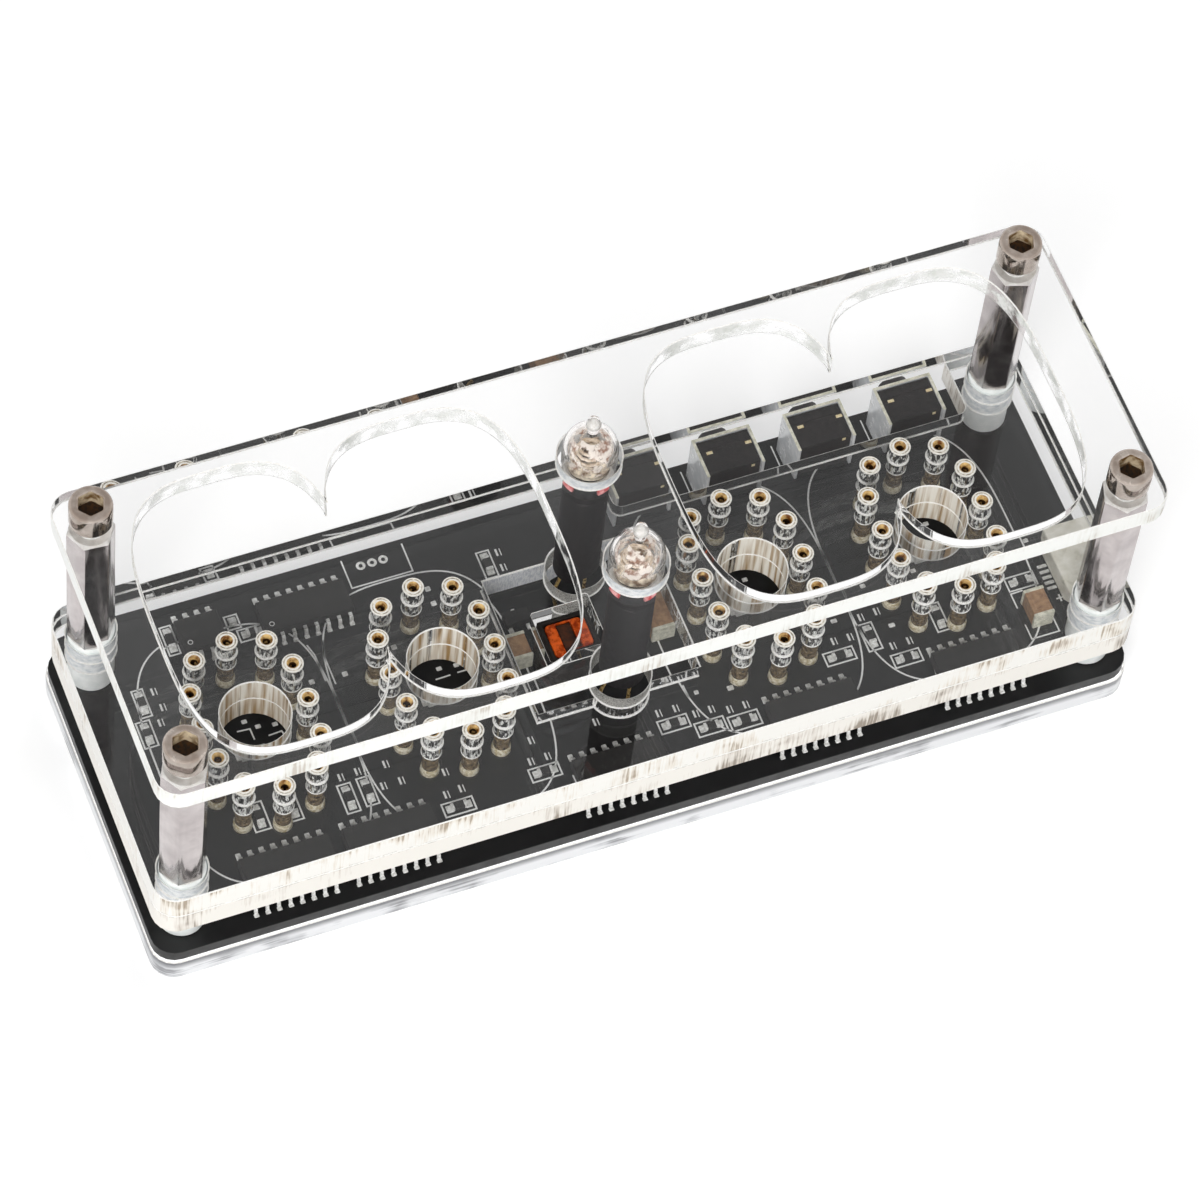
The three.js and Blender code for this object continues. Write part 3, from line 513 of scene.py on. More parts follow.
# The base wall's top band is a painted reflection of the dark board above it.
BASE_WALL = cut_wall(
    "base_wall_look", (150, 150, 154), (206, 207, 210), (240, 241, 243), (0.06, 0.06, 1),
    painted_board_reflection=(1.7, 2.7, (92, 92, 98)),
)
RIM = plain("cut_rim_look", (236, 234, 228), (253, 252, 250), (0.3, 0.5), 4, 0.004)
ALONG_HOLE = (1, 1, 0.22)
TORN = drilled("torn_wall_look", (150, 150, 148), (250, 250, 246), 0.5, 0.56, ALONG_HOLE, 3.0)
FROST = drilled("frost_wall_look", (70, 68, 64), (206, 204, 198), 0.25, 0.45, (1, 1, 1), 4.5)
PARTS = drilled(
    "parts_wall_look", (206, 210, 218), (244, 246, 248), 0.63, 0.67, ALONG_HOLE, 3.0,
    solid_back=8.5,
)
MILK = drilled("milk_wall_look", (214, 220, 224), (250, 252, 252), 0.1, 0.3, (1, 1, 1), 0.7)
WINDOW = drilled(
    "light_hole_look", (168, 136, 92), (252, 249, 240), 0.34, 0.42, (1, 1, 0.04), 1.0
)
# Painted highlights on the top sheet's window walls, with clear glass between them.
WINDOW_WALL_GLINTS = painted_glints(
    "window_wall_painted_glints", (236, 239, 233), (251, 252, 249), 0.42, 0.6, 0.5, glassy_within=True
)
BOARD = plain("board_mask", (9, 9, 10), (19, 18, 19), (0.32, 0.5), 0.6, 0.004)
PRINT = plain("board_print", (232, 232, 230), (252, 252, 250), (0.6, 0.8), 6, 0)
TIN = plain("solder_tin", (206, 205, 200), (254, 254, 252), (0.3, 0.45), 3, 0.02)
FOOT = plain("socket_foot", (54, 38, 24), (150, 128, 92), (0.15, 0.3), 2.4, 0.01, 0.3)
CUP = plain("socket_cup", (208, 190, 146), (252, 246, 226), (0.2, 0.35), 2.5, 0.01, 0.1)
BARE_METAL = (0.004, 1.0, 0.2, 6)
NICKEL = plain("nickel_plate", (180, 172, 172), (204, 197, 196), (0.1, 0.2), 0.5, *BARE_METAL)
STEEL = plain("screw_steel", (162, 150, 140), (190, 180, 172), (0.06, 0.14), 0.8, *BARE_METAL)
# Painted highlight: the standoffs' turned nickel ends, near white for the light they catch.
PAINTED_END_HIGHLIGHT = plain("turned_end_painted_highlight", (225, 220, 214), (245, 242, 238), (0.25, 0.35), 1, 0.004)
HEAD_TOP = plain("screw_top", (164, 148, 136), (198, 186, 176), (0.15, 0.3), 0.8, 0.004, 0.4)
RECESS = plain("screw_recess", (120, 92, 58), (240, 222, 190), (0.2, 0.35), 0.9, 0.01)
NYLON = plain("nylon", (236, 240, 238), (250, 252, 250), (0.3, 0.5), 1, 0.01)
# Painted highlight: the pins' metal top rings, near white for the light they catch.
PAINTED_RIM_HIGHLIGHT = plain("socket_rim_painted_highlight", (236, 231, 220), (253, 251, 245), (0.25, 0.4), 5, 0.004)
GOLD = plain("socket_gold", (112, 64, 20), (240, 204, 136), (0.2, 0.4), 1.6, 0, 0.1)
# Painted shade: near-black brown deep in the socket bores and on the screw recesses' floors.
PAINTED_BORE_SHADE = plain("bore_painted_shade", (22, 13, 6), (78, 50, 22), (0.5, 0.8), 3, 0)
GROOVE = plain("socket_groove", (150, 138, 118), (246, 241, 230), (0.4, 0.6), 2.2, 0)
GLASS = clear("lamp_glass_look", (255, 252, 250), 1.5, 0.0)
ELECTRODE = plain("lamp_electrode", (196, 176, 150), (255, 246, 232), (0.2, 0.4), 2, 0.01)
PLATE = plain("lamp_plate", (116, 88, 62), (255, 246, 226), (0.3, 0.5), 1.4, 0.06)
LAMP_WIRE = plain("lamp_wire", (96, 74, 44), (206, 176, 118), (0.2, 0.4), 2, 0.01, 0.4)
SLEEVE = plain("sleeve_black", (15, 13, 14), (32, 29, 31), (0.6, 0.8), 2, 0.01)
SWITCH = plain("switch_black", (34, 31, 31), (52, 48, 48), (0.5, 0.7), 2, 0.01)
SWITCH_MARK = plain("switch_mark", (222, 196, 140), (248, 236, 200), (0.4, 0.6), 4, 0)
BRACKET = plain("bracket_tin", (222, 225, 228), (246, 247, 248), (0.2, 0.3), 0.8, 0.003, 0.1)
CHIP = plain("chip_black", (30, 29, 28), (48, 46, 45), (0.5, 0.7), 3, 0.01)
CERAMIC = plain("ceramic_brown", (146, 108, 78), (182, 144, 106), (0.35, 0.5), 2, 0.005)
CREAM = plain("capacitor_end", (206, 204, 184), (246, 243, 226), (0.3, 0.45), 2, 0.01)
INLET = plain("inlet_tin", (224, 220, 204), (246, 243, 232), (0.25, 0.4), 1, 0.004, 0.05)
FERRITE = plain("ferrite_black", (18, 15, 13), (36, 31, 28), (0.5, 0.8), 4, 0.02)
COPPER = plain("copper_wire", (140, 44, 8), (226, 96, 28), (0.2, 0.35), 1.6, 0.01, 0.1)
WINDING_DARK = plain("winding_core", (34, 18, 10), (74, 40, 22), (0.5, 0.7), 2, 0.01)
LED = plain("led_white_look", (200, 200, 196), (228, 228, 224), (0.4, 0.6), 3, 0.004)
PHOSPHOR = plain("led_filling", (214, 196, 96), (240, 226, 140), (0.3, 0.5), 4, 0.01)
# Painted red glints at the lamps' sleeve tops.
PAINTED_RED_GLINT = plain("lamp_red_painted_glint", (204, 52, 58), (250, 190, 188), (0.3, 0.4), 1.6, 0)
# Painted highlights sparkling inside the lamps' glass.
PAINTED_BULB_SPARKLE = painted_glints("lamp_painted_sparkle", (150, 104, 78), (255, 248, 240), 0.47, 0.54, 0.8)
CATHODE = plain("lamp_cathode", (58, 42, 30), (122, 96, 72), (0.25, 0.4), 2, 0.01)


# ---- clear sheets


SCREW_HOLE = 2.7
SPACER_HOLE = 5.3
LIGHT_HOLE = 7.5
SOCKET_HOLE = 2.1
TOP_LAMP_HOLE = 6.7
SHEET_CORNER = 2.6
SHEET_GAP = 0.01
COVER_BACK = 18.8
NOTCH_X0 = 6.65
NOTCH_X1 = 47.75
NOTCH_Y = 12.2
NOTCH_CORNER = 1.0

# Slots of a clear sheet's looks
(
    PURE, OUTER, EDGE, TORN_SLOT, FROST_SLOT, MILK_SLOT, WINDOW_SLOT, FAINT_SLOT, PARTS_SLOT,
) = range(9)


def clear_sheet(name, node, outline, z0, z1, holes, wall):
    """A sheet with milky outer walls; its clear holes have white rims alone."""
    shape = Shape()
    shape.sheet(outline, z0, z1, 0.12, holes, PURE, OUTER, EDGE)
    looks = [CLEAR, wall, RIM, TORN, FROST, MILK, WINDOW, WINDOW_WALL_GLINTS, PARTS]
    piece(name, shape, looks, [node])


def cover_outline():
    return rounded(-55, 55, -18.5, COVER_BACK, SHEET_CORNER)


def screw_holes():
    return [(circle(x, y, SCREW_HOLE, 20), PURE, 0.1) for x, y in COLUMNS]


def cover_holes(socket_rims):
    holes = [(circle(x, y, SPACER_HOLE, 28), MILK_SLOT, 0.15) for x, y in COLUMNS]
    for tube in TUBE_XS:
        holes.append((circle(tube, 0, LIGHT_HOLE, 40), WINDOW_SLOT, 0.12))
        for x, y in SOCKET_RING:
            holes.append((circle(tube + x, y, SOCKET_HOLE, 24), TORN_SLOT, socket_rims))
    return holes


def lamp_holes(diameter, slot):
    return [(circle(LAMP_X, y, diameter, 40), slot, 0.15) for y in LAMPS.values()]


def lower_cover_outline():
    """The cover's outline with the switch notch open at the back."""
    outline = cover_outline()
    back = [p for p in outline if p.y > COVER_BACK - SHEET_GAP]
    cut = outline.index(max(back, key=lambda p: p.x)) + 1
    notch = rounded(NOTCH_X0, NOTCH_X1, NOTCH_Y, COVER_BACK, NOTCH_CORNER, 4)
    notch = [p for p in notch if p.y < NOTCH_Y + NOTCH_CORNER + SHEET_GAP]
    notch.sort(key=lambda p: -p.x)
    mouth = [Vector((x, COVER_BACK)) for x in (NOTCH_X1, NOTCH_X0)]
    return [*outline[:cut], mouth[0], *notch, mouth[1], *outline[cut:]]


def parts_window():
    """The lower cover's window, which the two lamp holes run out of."""
    x0, x1 = -9.75, 8.35
    radius = LAMP_HOLE / 2
    points = []
    for lamp, edge, first, last in (("front", -8.35, x0, x1), ("back", 8.65, x1, x0)):
        rise = edge - LAMPS[lamp]
        reach = math.copysign(math.sqrt(radius**2 - rise**2), last - first)
        start = math.atan2(rise, -reach)
        sweep = (math.atan2(rise, reach) - start) % (2 * math.pi)
        arc = [polar(radius, start + sweep * i / 16, LAMP_X, LAMPS[lamp]) for i in range(17)]
        points += [Vector((first, edge)), *arc, Vector((last, edge))]
    return points


clear_sheet(
    "base_sheet", "base_plate", rounded(-55.3, 55.3, -19.1, 20.1, SHEET_CORNER),
    0, BASE_TOP - SHEET_GAP, screw_holes(), BASE_WALL,
)
clear_sheet(
    "lower_sheet", "lower_cover_plate", lower_cover_outline(),
    LOWER_BOTTOM, COVER_JOINT - SHEET_GAP,
    [*cover_holes((0.08, 0.18)), (parts_window(), PARTS_SLOT, 0.15)],
    LOWER_WALL,
)
TOWER_HOLE = (rounded(-6.9, -0.6, -4.1, 2.2, 0.2, 1), PURE, 0.05)
clear_sheet(
    "upper_sheet", "upper_cover_plate", cover_outline(),
    COVER_JOINT + SHEET_GAP, COVER_TOP,
    [*cover_holes((0.18, 0.1)), *lamp_holes(LAMP_HOLE, FROST_SLOT), TOWER_HOLE],
    UPPER_WALL,
)
WINDOWS = [(two_lobes(*xs, 10.9, 16.4), FAINT_SLOT, 0.12) for xs in (TUBE_XS[:2], TUBE_XS[2:])]
clear_sheet(
    "top_sheet", "top_plate", rounded(-55, 55, -18.65, 18.65, SHEET_CORNER),
    TOP_BOTTOM, TOP_TOP,
    [*screw_holes(), *lamp_holes(TOP_LAMP_HOLE, MILK_SLOT), *WINDOWS],
    TOP_WALL,
)

# ---- board


PRINT_Z = BOARD_TOP + 0.015
PAD_Z = BOARD_TOP + 0.03

# Printed boxes with a small part in each: x0, x1, y0, y1
PART_BOXES = [
    (-42.8, -41.6, 13.8, 17.4), (-35.9, -34.5, 14.8, 16.5), (-35.1, -32.2, 13.0, 14.5),
    (-48.3, -47.1, 7.0, 10.4), (-49.1, -47.6, 3.4, 6.6), (-41.2, -39.5, -9.2, -5.8),
    (-37.4, -35.9, -9.2, -6.1), (-31.4, -29.95, -10.2, -6.7), (-29.2, -27.8, -10.0, -6.55),
    (-21.8, -18.4, -13.9, -12.3), (-11.7, -8.4, -12.9, -11.3), (3.3, 6.6, -11.8, -10.2),
    (6.95, 10.2, -13.4, -11.7), (10.6, 13.95, -13.9, -12.1), (-7.65, -6.25, 12.1, 15.5),
    (23.15, 26.5, -9.7, -8.1), (28.05, 29.6, -9.4, -6.0), (30.0, 33.2, -12.2, -10.6),
    (36.0, 37.4, -9.5, -6.0), (45.3, 48.6, -7.3, -5.6),
]
# A printed cross that stands clear of the parts
CROSS = (50.2, -9.7)
# Pairs of short strokes beside the boxes
STROKES = [
    (-46.0, 9.7), (-45.7, 7.6), (-46.5, 5.9), (-30.6, -5.8), (-28.7, -5.7), (-26.7, -8.2),
    (-24.7, -8.2), (-25.6, -5.8), (-20.0, -8.7), (-20.8, -11.3), (-19.05, -11.1),
    (-11.0, -10.4), (-9.1, -10.35), (-10.1, -8.0), (3.9, -9.25), (5.85, -9.25),
    (7.63, -10.55), (9.42, -10.55), (11.25, -11.2), (13.1, -11.2), (24.95, -6.95),
    (26.8, -7.0), (28.8, -5.1), (30.7, -4.95), (30.75, -9.5), (32.7, -9.45), (-5.3, 14.9),
    (-5.4, 12.95), (-2.8, -8.1), (1.0, -8.1),
]
# Bare pads: x, y, half width, half depth
PADS = [
    (-26.0, 5.87, 0.3, 0.3), (-29.65, 6.05, 0.3, 0.3), (-14.08, 12.95, 0.3, 0.3),
    (-14.08, 11.05, 0.3, 0.3), (-19.95, 7.3, 0.3, 0.3), (25.84, -4.63, 0.35, 0.25),
    (31.58, -7.1, 0.35, 0.25), (12.25, -8.8, 0.35, 0.3), (8.6, -8.15, 0.25, 0.25),
    (30.1, -2.1, 0.3, 0.25), (36.0, -2.06, 0.3, 0.25), (49.06, -2.4, 0.3, 0.25),
    (-37.5, 5.1, 0.3, 0.25), (-36.3, 4.1, 0.3, 0.25), (-34.5, 3.8, 0.3, 0.25),
    (-15.7, 4.65, 0.3, 0.25), (-13.8, 4.5, 0.3, 0.25), (19.45, 4.6, 0.3, 0.25),
    (40.85, 4.95, 0.3, 0.25),
]
INLET_PADS_Y = [-5.42, -6.15, -6.88, -7.56, -8.25]
TRACES = [
    [(-28.64, 10.5), (-28.25, 9.07), (-28.21, 5.69)],
    [(-26.82, 10.54), (-27.34, 8.77), (-27.33, 5.01)],
    [(34.04, -11.84), (33.81, -14.37)], [(7.56, -6.85), (7.63, -8.42)],
    [(-7.43, -13.36), (-7.37, -14.39)],
    [(-38.6, 4.2), (-37.2, 4.1), (-37.15, 2.7)],
    [(-35.6, 2.7), (-34.1, 2.8), (-33.95, 2.2)],
    [(-16.5, 3.5), (-14.8, 3.55)],
    [(-14.0, 3.6), (-12.9, 3.6), (-12.6, 2.0)],
    [(-21.7, 19.2), (-21.7, 15.6), (-14.8, 15.6), (-14.8, 19.2)],
    [(45.28, -9.5), (45.28, -7.6), (46.7, -7.55)],
    [(45.28, -11.6), (45.28, -13.5), (48.5, -13.5), (48.5, -11.4)],
]
HEADER_RINGS = [(-19.89, 17.95), (-18.6, 17.95), (-17.35, 17.95)]


def board():
    shape = Shape()
    outline = rounded(-55.15, 55.15, -18.8, 19.8, SHEET_CORNER)
    shape.sheet(outline, BASE_TOP, BOARD_TOP, 0.05, screw_holes())
    return shape


def print_on_board():
    shape = Shape()
    for tube in TUBE_XS:
        shape.line(oval(tube, 10.4, 15.3), 0.2, PRINT_Z, closed=True)
    for x0, x1, y0, y1 in PART_BOXES:
        shape.line([(x0, y0), (x1, y0), (x1, y1), (x0, y1)], 0.19, PRINT_Z, closed=True)
    for path in TRACES:
        shape.line(path, 0.18, PRINT_Z)
    for x in SWITCH_XS:
        shape.line([(x - 3.75, 15.8), (x - 3.75, 18.9)], 0.16, PRINT_Z)
    x, y = CROSS
    shape.line([(x - 0.45, y), (x + 0.45, y)], 0.2, PRINT_Z)
    shape.line([(x, y - 0.45), (x, y + 0.45)], 0.2, PRINT_Z + 0.005)
    for x, y in STROKES:
        shape.line([(x - 0.2, y - 0.45), (x - 0.2, y + 0.45)], 0.24, PRINT_Z)
        shape.line([(x + 0.22, y - 0.5), (x + 0.22, y + 0.4)], 0.12, PRINT_Z)
    return shape


def board_pads():
    shape = Shape()
    for x, y, half_x, half_y in PADS:
        outline = rounded(x - half_x, x + half_x, y - half_y, y + half_y, 0.1, 2)
        shape.patch(outline, PAD_Z)
    for y in INLET_PADS_Y:
        shape.patch(rounded(49.3, 50.4, y - 0.2, y + 0.2, 0.08, 2), PAD_Z)
    for x, y in HEADER_RINGS:
        shape.line(circle(x, y, 0.75, 20), 0.3, PAD_Z, closed=True)
    return shape


def small_parts():
    """One soldered part in each printed box, along the box's longer side."""
    shape = Shape()
    for x0, x1, y0, y1 in PART_BOXES:
        width, depth = x1 - x0, y1 - y0
        turn = spun(90 if depth > width else 0)
        shape.at((x0 + x1) / 2, (y0 + y1) / 2, BOARD_TOP, turn)
        half = max(width, depth) / 2 - 0.3
        body = rounded(-half + 0.75, half - 0.75, -0.38, 0.38, 0.05, 2)
        shape.sheet(body, 0.08, 0.5, 0.03)
        for side in (-1, 1):
            end, foot = side * (half - 0.5), side * half
            shape.block(side * (half - 0.85), end, -0.4, 0.4, 0.06, 0.53, 0.05, 1)
            shape.block(side * (half - 0.7), foot, -0.42, 0.42, 0.01, 0.16, 0.05, 1)
    return shape


piece("board_sheet", board(), [BOARD], ["circuit_board"])
piece("board_print_lines", print_on_board(), [PRINT])
piece("board_pads", board_pads(), [TIN])
piece("board_small_parts", small_parts(), [CHIP, TIN])

# ---- columns


HEX_HALF = 2.25


def spacer(x, y):
    shape = Shape().at(x, y, BOARD_TOP)
    top = HEX_BOTTOM - BOARD_TOP
    profile = [(1.4, 0.1), (2.3, 0), (2.5, 0.2), (2.5, top - 0.2), (2.3, top), (1.4, top)]
    shape.turned(profile, sides=40, closed=True)
    return shape


def standoff(x, y, turn):
    """Six flats with broken corners, both ends turned to a chamfer that is painted near white
    as a highlight.
    """
    shape = Shape().at(x, y, HEX_BOTTOM, spun(turn))
    length = TOP_BOTTOM - HEX_BOTTOM

    def ring(radius, z):
        """Hexagon, kept inside a circle of that radius."""
        points = []
        for i in range(6):
            for lean in (-29, -27.5, -14, 0, 14, 27.5, 29):
                reach = min(HEX_HALF / math.cos(math.radians(lean)), radius)
                points.append(polar(reach, math.radians(60 * i + lean)))
        return level(points, z)

    profile = [(1.35, 0), (2.2, 0), (2.4, 0.16), (HEX_HALF / math.cos(math.pi / 6), 0.4)]
    profile += [(radius, length - z) for radius, z in reversed(profile)]
    # Slot 1, the turned ends, takes the painted highlight.
    slots = [1, 1, 1, 0, 1, 1, 1, 0]
    shape.rings([ring(*rim) for rim in profile], slots, closed=True)
    return shape


# A screw from its shank's end to its head's rolled rim: radius, height over the sheet
SCREW_PROFILE = [
    (1.2, -8.5), (1.2, 0.0), (2.2, 0.0), (2.3, 0.12), (2.3, 2.62), (2.24, 2.84),
    (2.12, 3.0), (1.98, 3.08), (1.9, 3.1),
]
# The rims of its six-sided recess, inwards and down: size, height
RECESS_RIMS = [(1.1, 3.1), (1.0, 2.98), (1.0, 1.2)]
RECESS_CORNER = 1.48
RECESS_TURN = 11.5


def top_screw(x, y):
    """Socket head with a rolled rim, its shank in the standoff."""
    shape = Shape().at(x, y, TOP_TOP)
    hexagon = []
    for i in range(48):
        angle = 2 * math.pi * i / 48
        lean = (angle - math.radians(RECESS_TURN)) % (math.pi / 3) - math.pi / 6
        reach = RECESS_CORNER * math.cos(math.pi / 6) / math.cos(lean)
        hexagon.append(polar(reach, angle))
    rings = [level(circle(0, 0, 2 * radius, 48), z) for radius, z in SCREW_PROFILE]
    rings += [level([p * size for p in hexagon], z) for size, z in RECESS_RIMS]
    ends = [[(0, 0, -8.5)], [(0, 0, 0.9)]]
    # The recess's floor, the last slot, takes the painted shade.
    shape.rings([ends[0], *rings, ends[1]], [0] * 6 + [2] * 5 + [1, 3])
    return shape


for number, ((x, y), turn) in enumerate(zip(COLUMNS, HEX_TURNS), 1):
    tube, hexagon, screw = spacer(x, y), standoff(x, y, turn), top_screw(x, y)
    screw_looks = [STEEL, RECESS, HEAD_TOP, PAINTED_BORE_SHADE]
    piece(f"spacer_tube_{number}", tube, [NYLON], [f"spacer_{number}"])
    piece(f"standoff_hex_{number}", hexagon, [NICKEL, PAINTED_END_HIGHLIGHT], [f"standoff_{number}"])
    piece(f"top_screw_head_{number}", screw, screw_looks, [f"top_screw_{number}"])
    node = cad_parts[f"bottom_screw_{number}"]
    node.data.materials.clear()
    node.data.materials.append(STEEL)

# ---- sockets and lamps


# A socket pin from its foot on the board to the bore in its top: radius, height
PIN_PROFILE = [
    (0, BOARD_TOP), (1.0, BOARD_TOP), (1.06, BOARD_TOP + 0.1), (1.02, BOARD_TOP + 0.9),
    (0.88, BOARD_TOP + 1.15), (0.88, 15.42), (1.12, 15.42), (1.17, 15.5), (1.12, 15.58),
    (1.0, 15.58), (0.96, 15.48), (0.92, 15.48), (0.86, 15.57), (0.66, 15.58), (0.48, 15.42),
    (0.4, 15.1), (0.38, 12.4), (0, 12.3),
]
# Slot 3, deep in the bore, takes the painted shade.
PIN_SLOTS = [1, 4, 4, 4, 1, 0, 0, 0, 0, 5, 5, 5, 0, 2, 2, 3, 3]


def sockets(tube):
    """Twelve pins, with two spring leaves in each one's bore."""
    shape = Shape()
    for index, (x, y) in enumerate(SOCKET_RING):
        shape.at(tube + x, y, 0)
        shape.turned(PIN_PROFILE, PIN_SLOTS, 24)
        shape.at(tube + x, y, 0, spun((index * 47 + tube * 13) % 180))
        for side in (-1, 1):
            shape.block(side * 0.14, side * 0.36, -0.2, 0.2, 12.4, 14.7, 0.06, 2)
    return shape


def digit_light(tube):
    """White square case with a round dish, and the filling in the dish."""
    shape = Shape().at(tube, 0, BOARD_TOP)
    shape.block(-1.75, 1.75, -1.4, 1.4, 0, 0.55, 0.1)
    dish = (circle(0, 0, 2.3, 32), 0, 0.15)
    shape.sheet(rounded(-1.75, 1.75, -1.4, 1.4, 0.12, 2), 0.5, 1.1, 0.06, [dish])
    shape.turned([(0, 0.5), (1.12, 0.5), (1.15, 0.62), (0, 0.66)], 1, 32)
    for side in (-1, 1):
        shape.block(side * 1.65, side * 2.25, -1.1, 1.1, 0, 0.3, 0.05, 2)
    return shape


# Slot 0 of the pins, their top rings, takes the painted highlight.
pin_looks = [PAINTED_RIM_HIGHLIGHT, FOOT, GOLD, PAINTED_BORE_SHADE, CUP, GROOVE]
light_looks = [LED, PHOSPHOR, TIN]
for number, tube in enumerate(TUBE_XS, 1):
    pins, light = [f"tube_socket_{number}"], [f"digit_led_{number}"]
    piece(f"socket_pins_{number}", sockets(tube), pin_looks, pins)
    piece(f"digit_light_{number}", digit_light(tube), light_looks, light)

BULB_RADIUS = 2.95
BULB_BORE = 2.5
BULB_FOOT = 33.6
BULB_SHOULDER = 38.9
PIP = [(0.62, 42.2), (0.62, 42.7), (0.78, 43.2), (0.8, 43.7), (0.6, 44.25), (0, 44.6)]
SPARKLE_SHELL_RADIUS = 2.34


def bulb(y):
    """Thin glass envelope with a drawn-off tip."""
    shape = Shape().at(LAMP_X, y, 0)
    outer = [(0, BULB_FOOT), (2.2, BULB_FOOT), (2.8, BULB_FOOT + 0.4)]
    outer += [(BULB_RADIUS, BULB_FOOT + 1.0), (BULB_RADIUS, BULB_SHOULDER)]
    outer += dome(BULB_RADIUS, BULB_SHOULDER, range(1, 9), 10) + PIP
    inner = [(0, 41.4), *dome(BULB_BORE, BULB_SHOULDER, range(8, -1, -1), 10)]
    inner += [(BULB_BORE, BULB_FOOT + 1.4), (2.0, BULB_FOOT + 0.9), (0, BULB_FOOT + 0.9)]
    shape.turned(outer, 0, 48)
    start = len(shape.faces)
    shape.turned(inner, 0, 48)
    shape.inward = list(range(start, len(shape.faces)))
    return shape


# Profiles inside the bulb: radius, height
PLATE_PROFILE = [
    (0, 36.3), (1.9, 36.3), (2.2, 36.6), (2.2, 37.2), (1.5, 37.5), (1.1, 37.3), (0.8, 36.9),
    (0, 36.8),
]
PIP_LENS = [(0, 42.9), (0.4, 43.1), (0.48, 43.5), (0.3, 43.9), (0, 44.0)]
NECK_RING = [(2.02, 35.5), (2.4, 35.5), (2.42, 36.1), (2.3, 36.25), (2.02, 36.1)]


def lamp_metal(y):
    """Plate, coil and electrode in the bulb, a shell of painted highlights, the rings at its
    neck with two arcs of painted red glints, and the two wires.
    """
    shape = Shape().at(LAMP_X, y, 0)
    x = 1.27
    bent = [(-x - 0.9, -0.3, 9.0), (-x - 1.3, -0.4, 11.2), (-x - 0.9, -0.3, 13.4)]
    bent = [(-x, 0, BOARD_TOP), *bent, (-x, 0, 15.8), (-x, 0, 20.0), (-x, 0, 33.7)]
    shape.wire(bent, 0.2, 1)
    shape.wire([(x, 0, BOARD_TOP), (x, 0, 10.0), (x, 0, 20.0), (x, 0, 33.7)], 0.2, 1)
    shape.turned(PLATE_PROFILE, 5, 40)
    shape.wire([(-0.35, 0.1, 36.9), (-0.3, 0, 37.5), (-0.2, 0, 38.3)], 0.5, 3, 16)
    shape.wire([(0.6, 0.2, 36.9), (0.62, 0.2, 37.4), (0.7, 0.3, 37.9)], 0.3, 3, 12)
    # A shell just inside the glass that carries the painted highlights.
    sparkle_shell = dome(SPARKLE_SHELL_RADIUS, BULB_SHOULDER, range(7), 11)
    shape.turned([(2.3, 37.4), (SPARKLE_SHELL_RADIUS, 38.6), *sparkle_shell], 6, 40)
    shape.turned(PIP_LENS, 4, 20)
    coil = []
    for step in range(37):
        flat = polar(1.75 - step * 0.02, math.radians(step * 30))
        coil.append((*flat, 37.7 + step * 0.05))
    shape.wire(coil, 0.17, 0, 8)
    shape.turned(NECK_RING, 4, 40, closed=True)
    # Two short red arcs at the sleeve's top: painted red glints.
    for turn in (math.atan2(-0.75, -2.2), math.atan2(-2.15, 0.68)):
        arc = [polar(2.52, turn + math.radians(step * 6 - 15)) for step in range(6)]
        shape.wire(level(arc, 33.1), 0.34, 2, 10)
    return shape


def sleeve(y):
    shape = Shape().at(LAMP_X, y, 0)
    profile = [(2.05, 15.9), (2.4, 15.9), (2.45, 16.0), (2.45, 33.3), (2.38, 33.5)]
    shape.turned([*profile, (2.05, 33.5)], sides=40, closed=True)
    return shape


lamp_looks = [ELECTRODE, LAMP_WIRE, PAINTED_RED_GLINT, CATHODE, RIM, PLATE, PAINTED_BULB_SPARKLE]
for place, y in LAMPS.items():
    piece(f"lamp_glass_{place}", bulb(y), [GLASS], [f"lamp_bulb_{place}"])
    piece(f"lamp_wires_{place}", lamp_metal(y), lamp_looks)
    piece(f"lamp_tube_{place}", sleeve(y), [SLEEVE], [f"lamp_sleeve_{place}"])

# ---- switches


PLUNGER_Z = 3.6
CASE_HALF = 3.0
CAGE_HALF = 3.35
CAGE_BACK = 18.35
CAGE_TOP = 6.94
FACE_BACK = spun(90, "X")
# Radius and way along the plunger, from its collar's front to its tip
PLUNGER_PROFILE = [
    (0, 0), (2.0, 0), (2.1, 0.1), (2.1, 0.75), (2.0, 0.8), (1.7, 0.82), (1.7, 2.9),
    (1.55, 3.08), (0, 3.08),
]


def switch_body(x):
    """Case with a bore in its back, where the plunger's collar slides."""
    shape = Shape().at(x, 0, BOARD_TOP)
    shape.block(-CASE_HALF, CASE_HALF, 13.7, 16.8, 0.1, 6.85, 0.18)
    for centre in (-2.0, 2.5):
        shape.block(centre - 0.35, centre + 0.35, 16.12, 16.48, 6.8, 6.9, 0.03, 1)
    shape.block(1.9, 2.3, 13.66, 13.8, 6.1, 6.5, 0.03, 1)
    shape.at(x, 17.9, BOARD_TOP, FACE_BACK)
    bore = (circle(0, PLUNGER_Z, 4.32, 40), 0, 0.05)
    shape.sheet(rounded(-CASE_HALF, CASE_HALF, 0.1, 6.85, 0.18, 2), 0, 1.15, 0.04, [bore])
    return shape


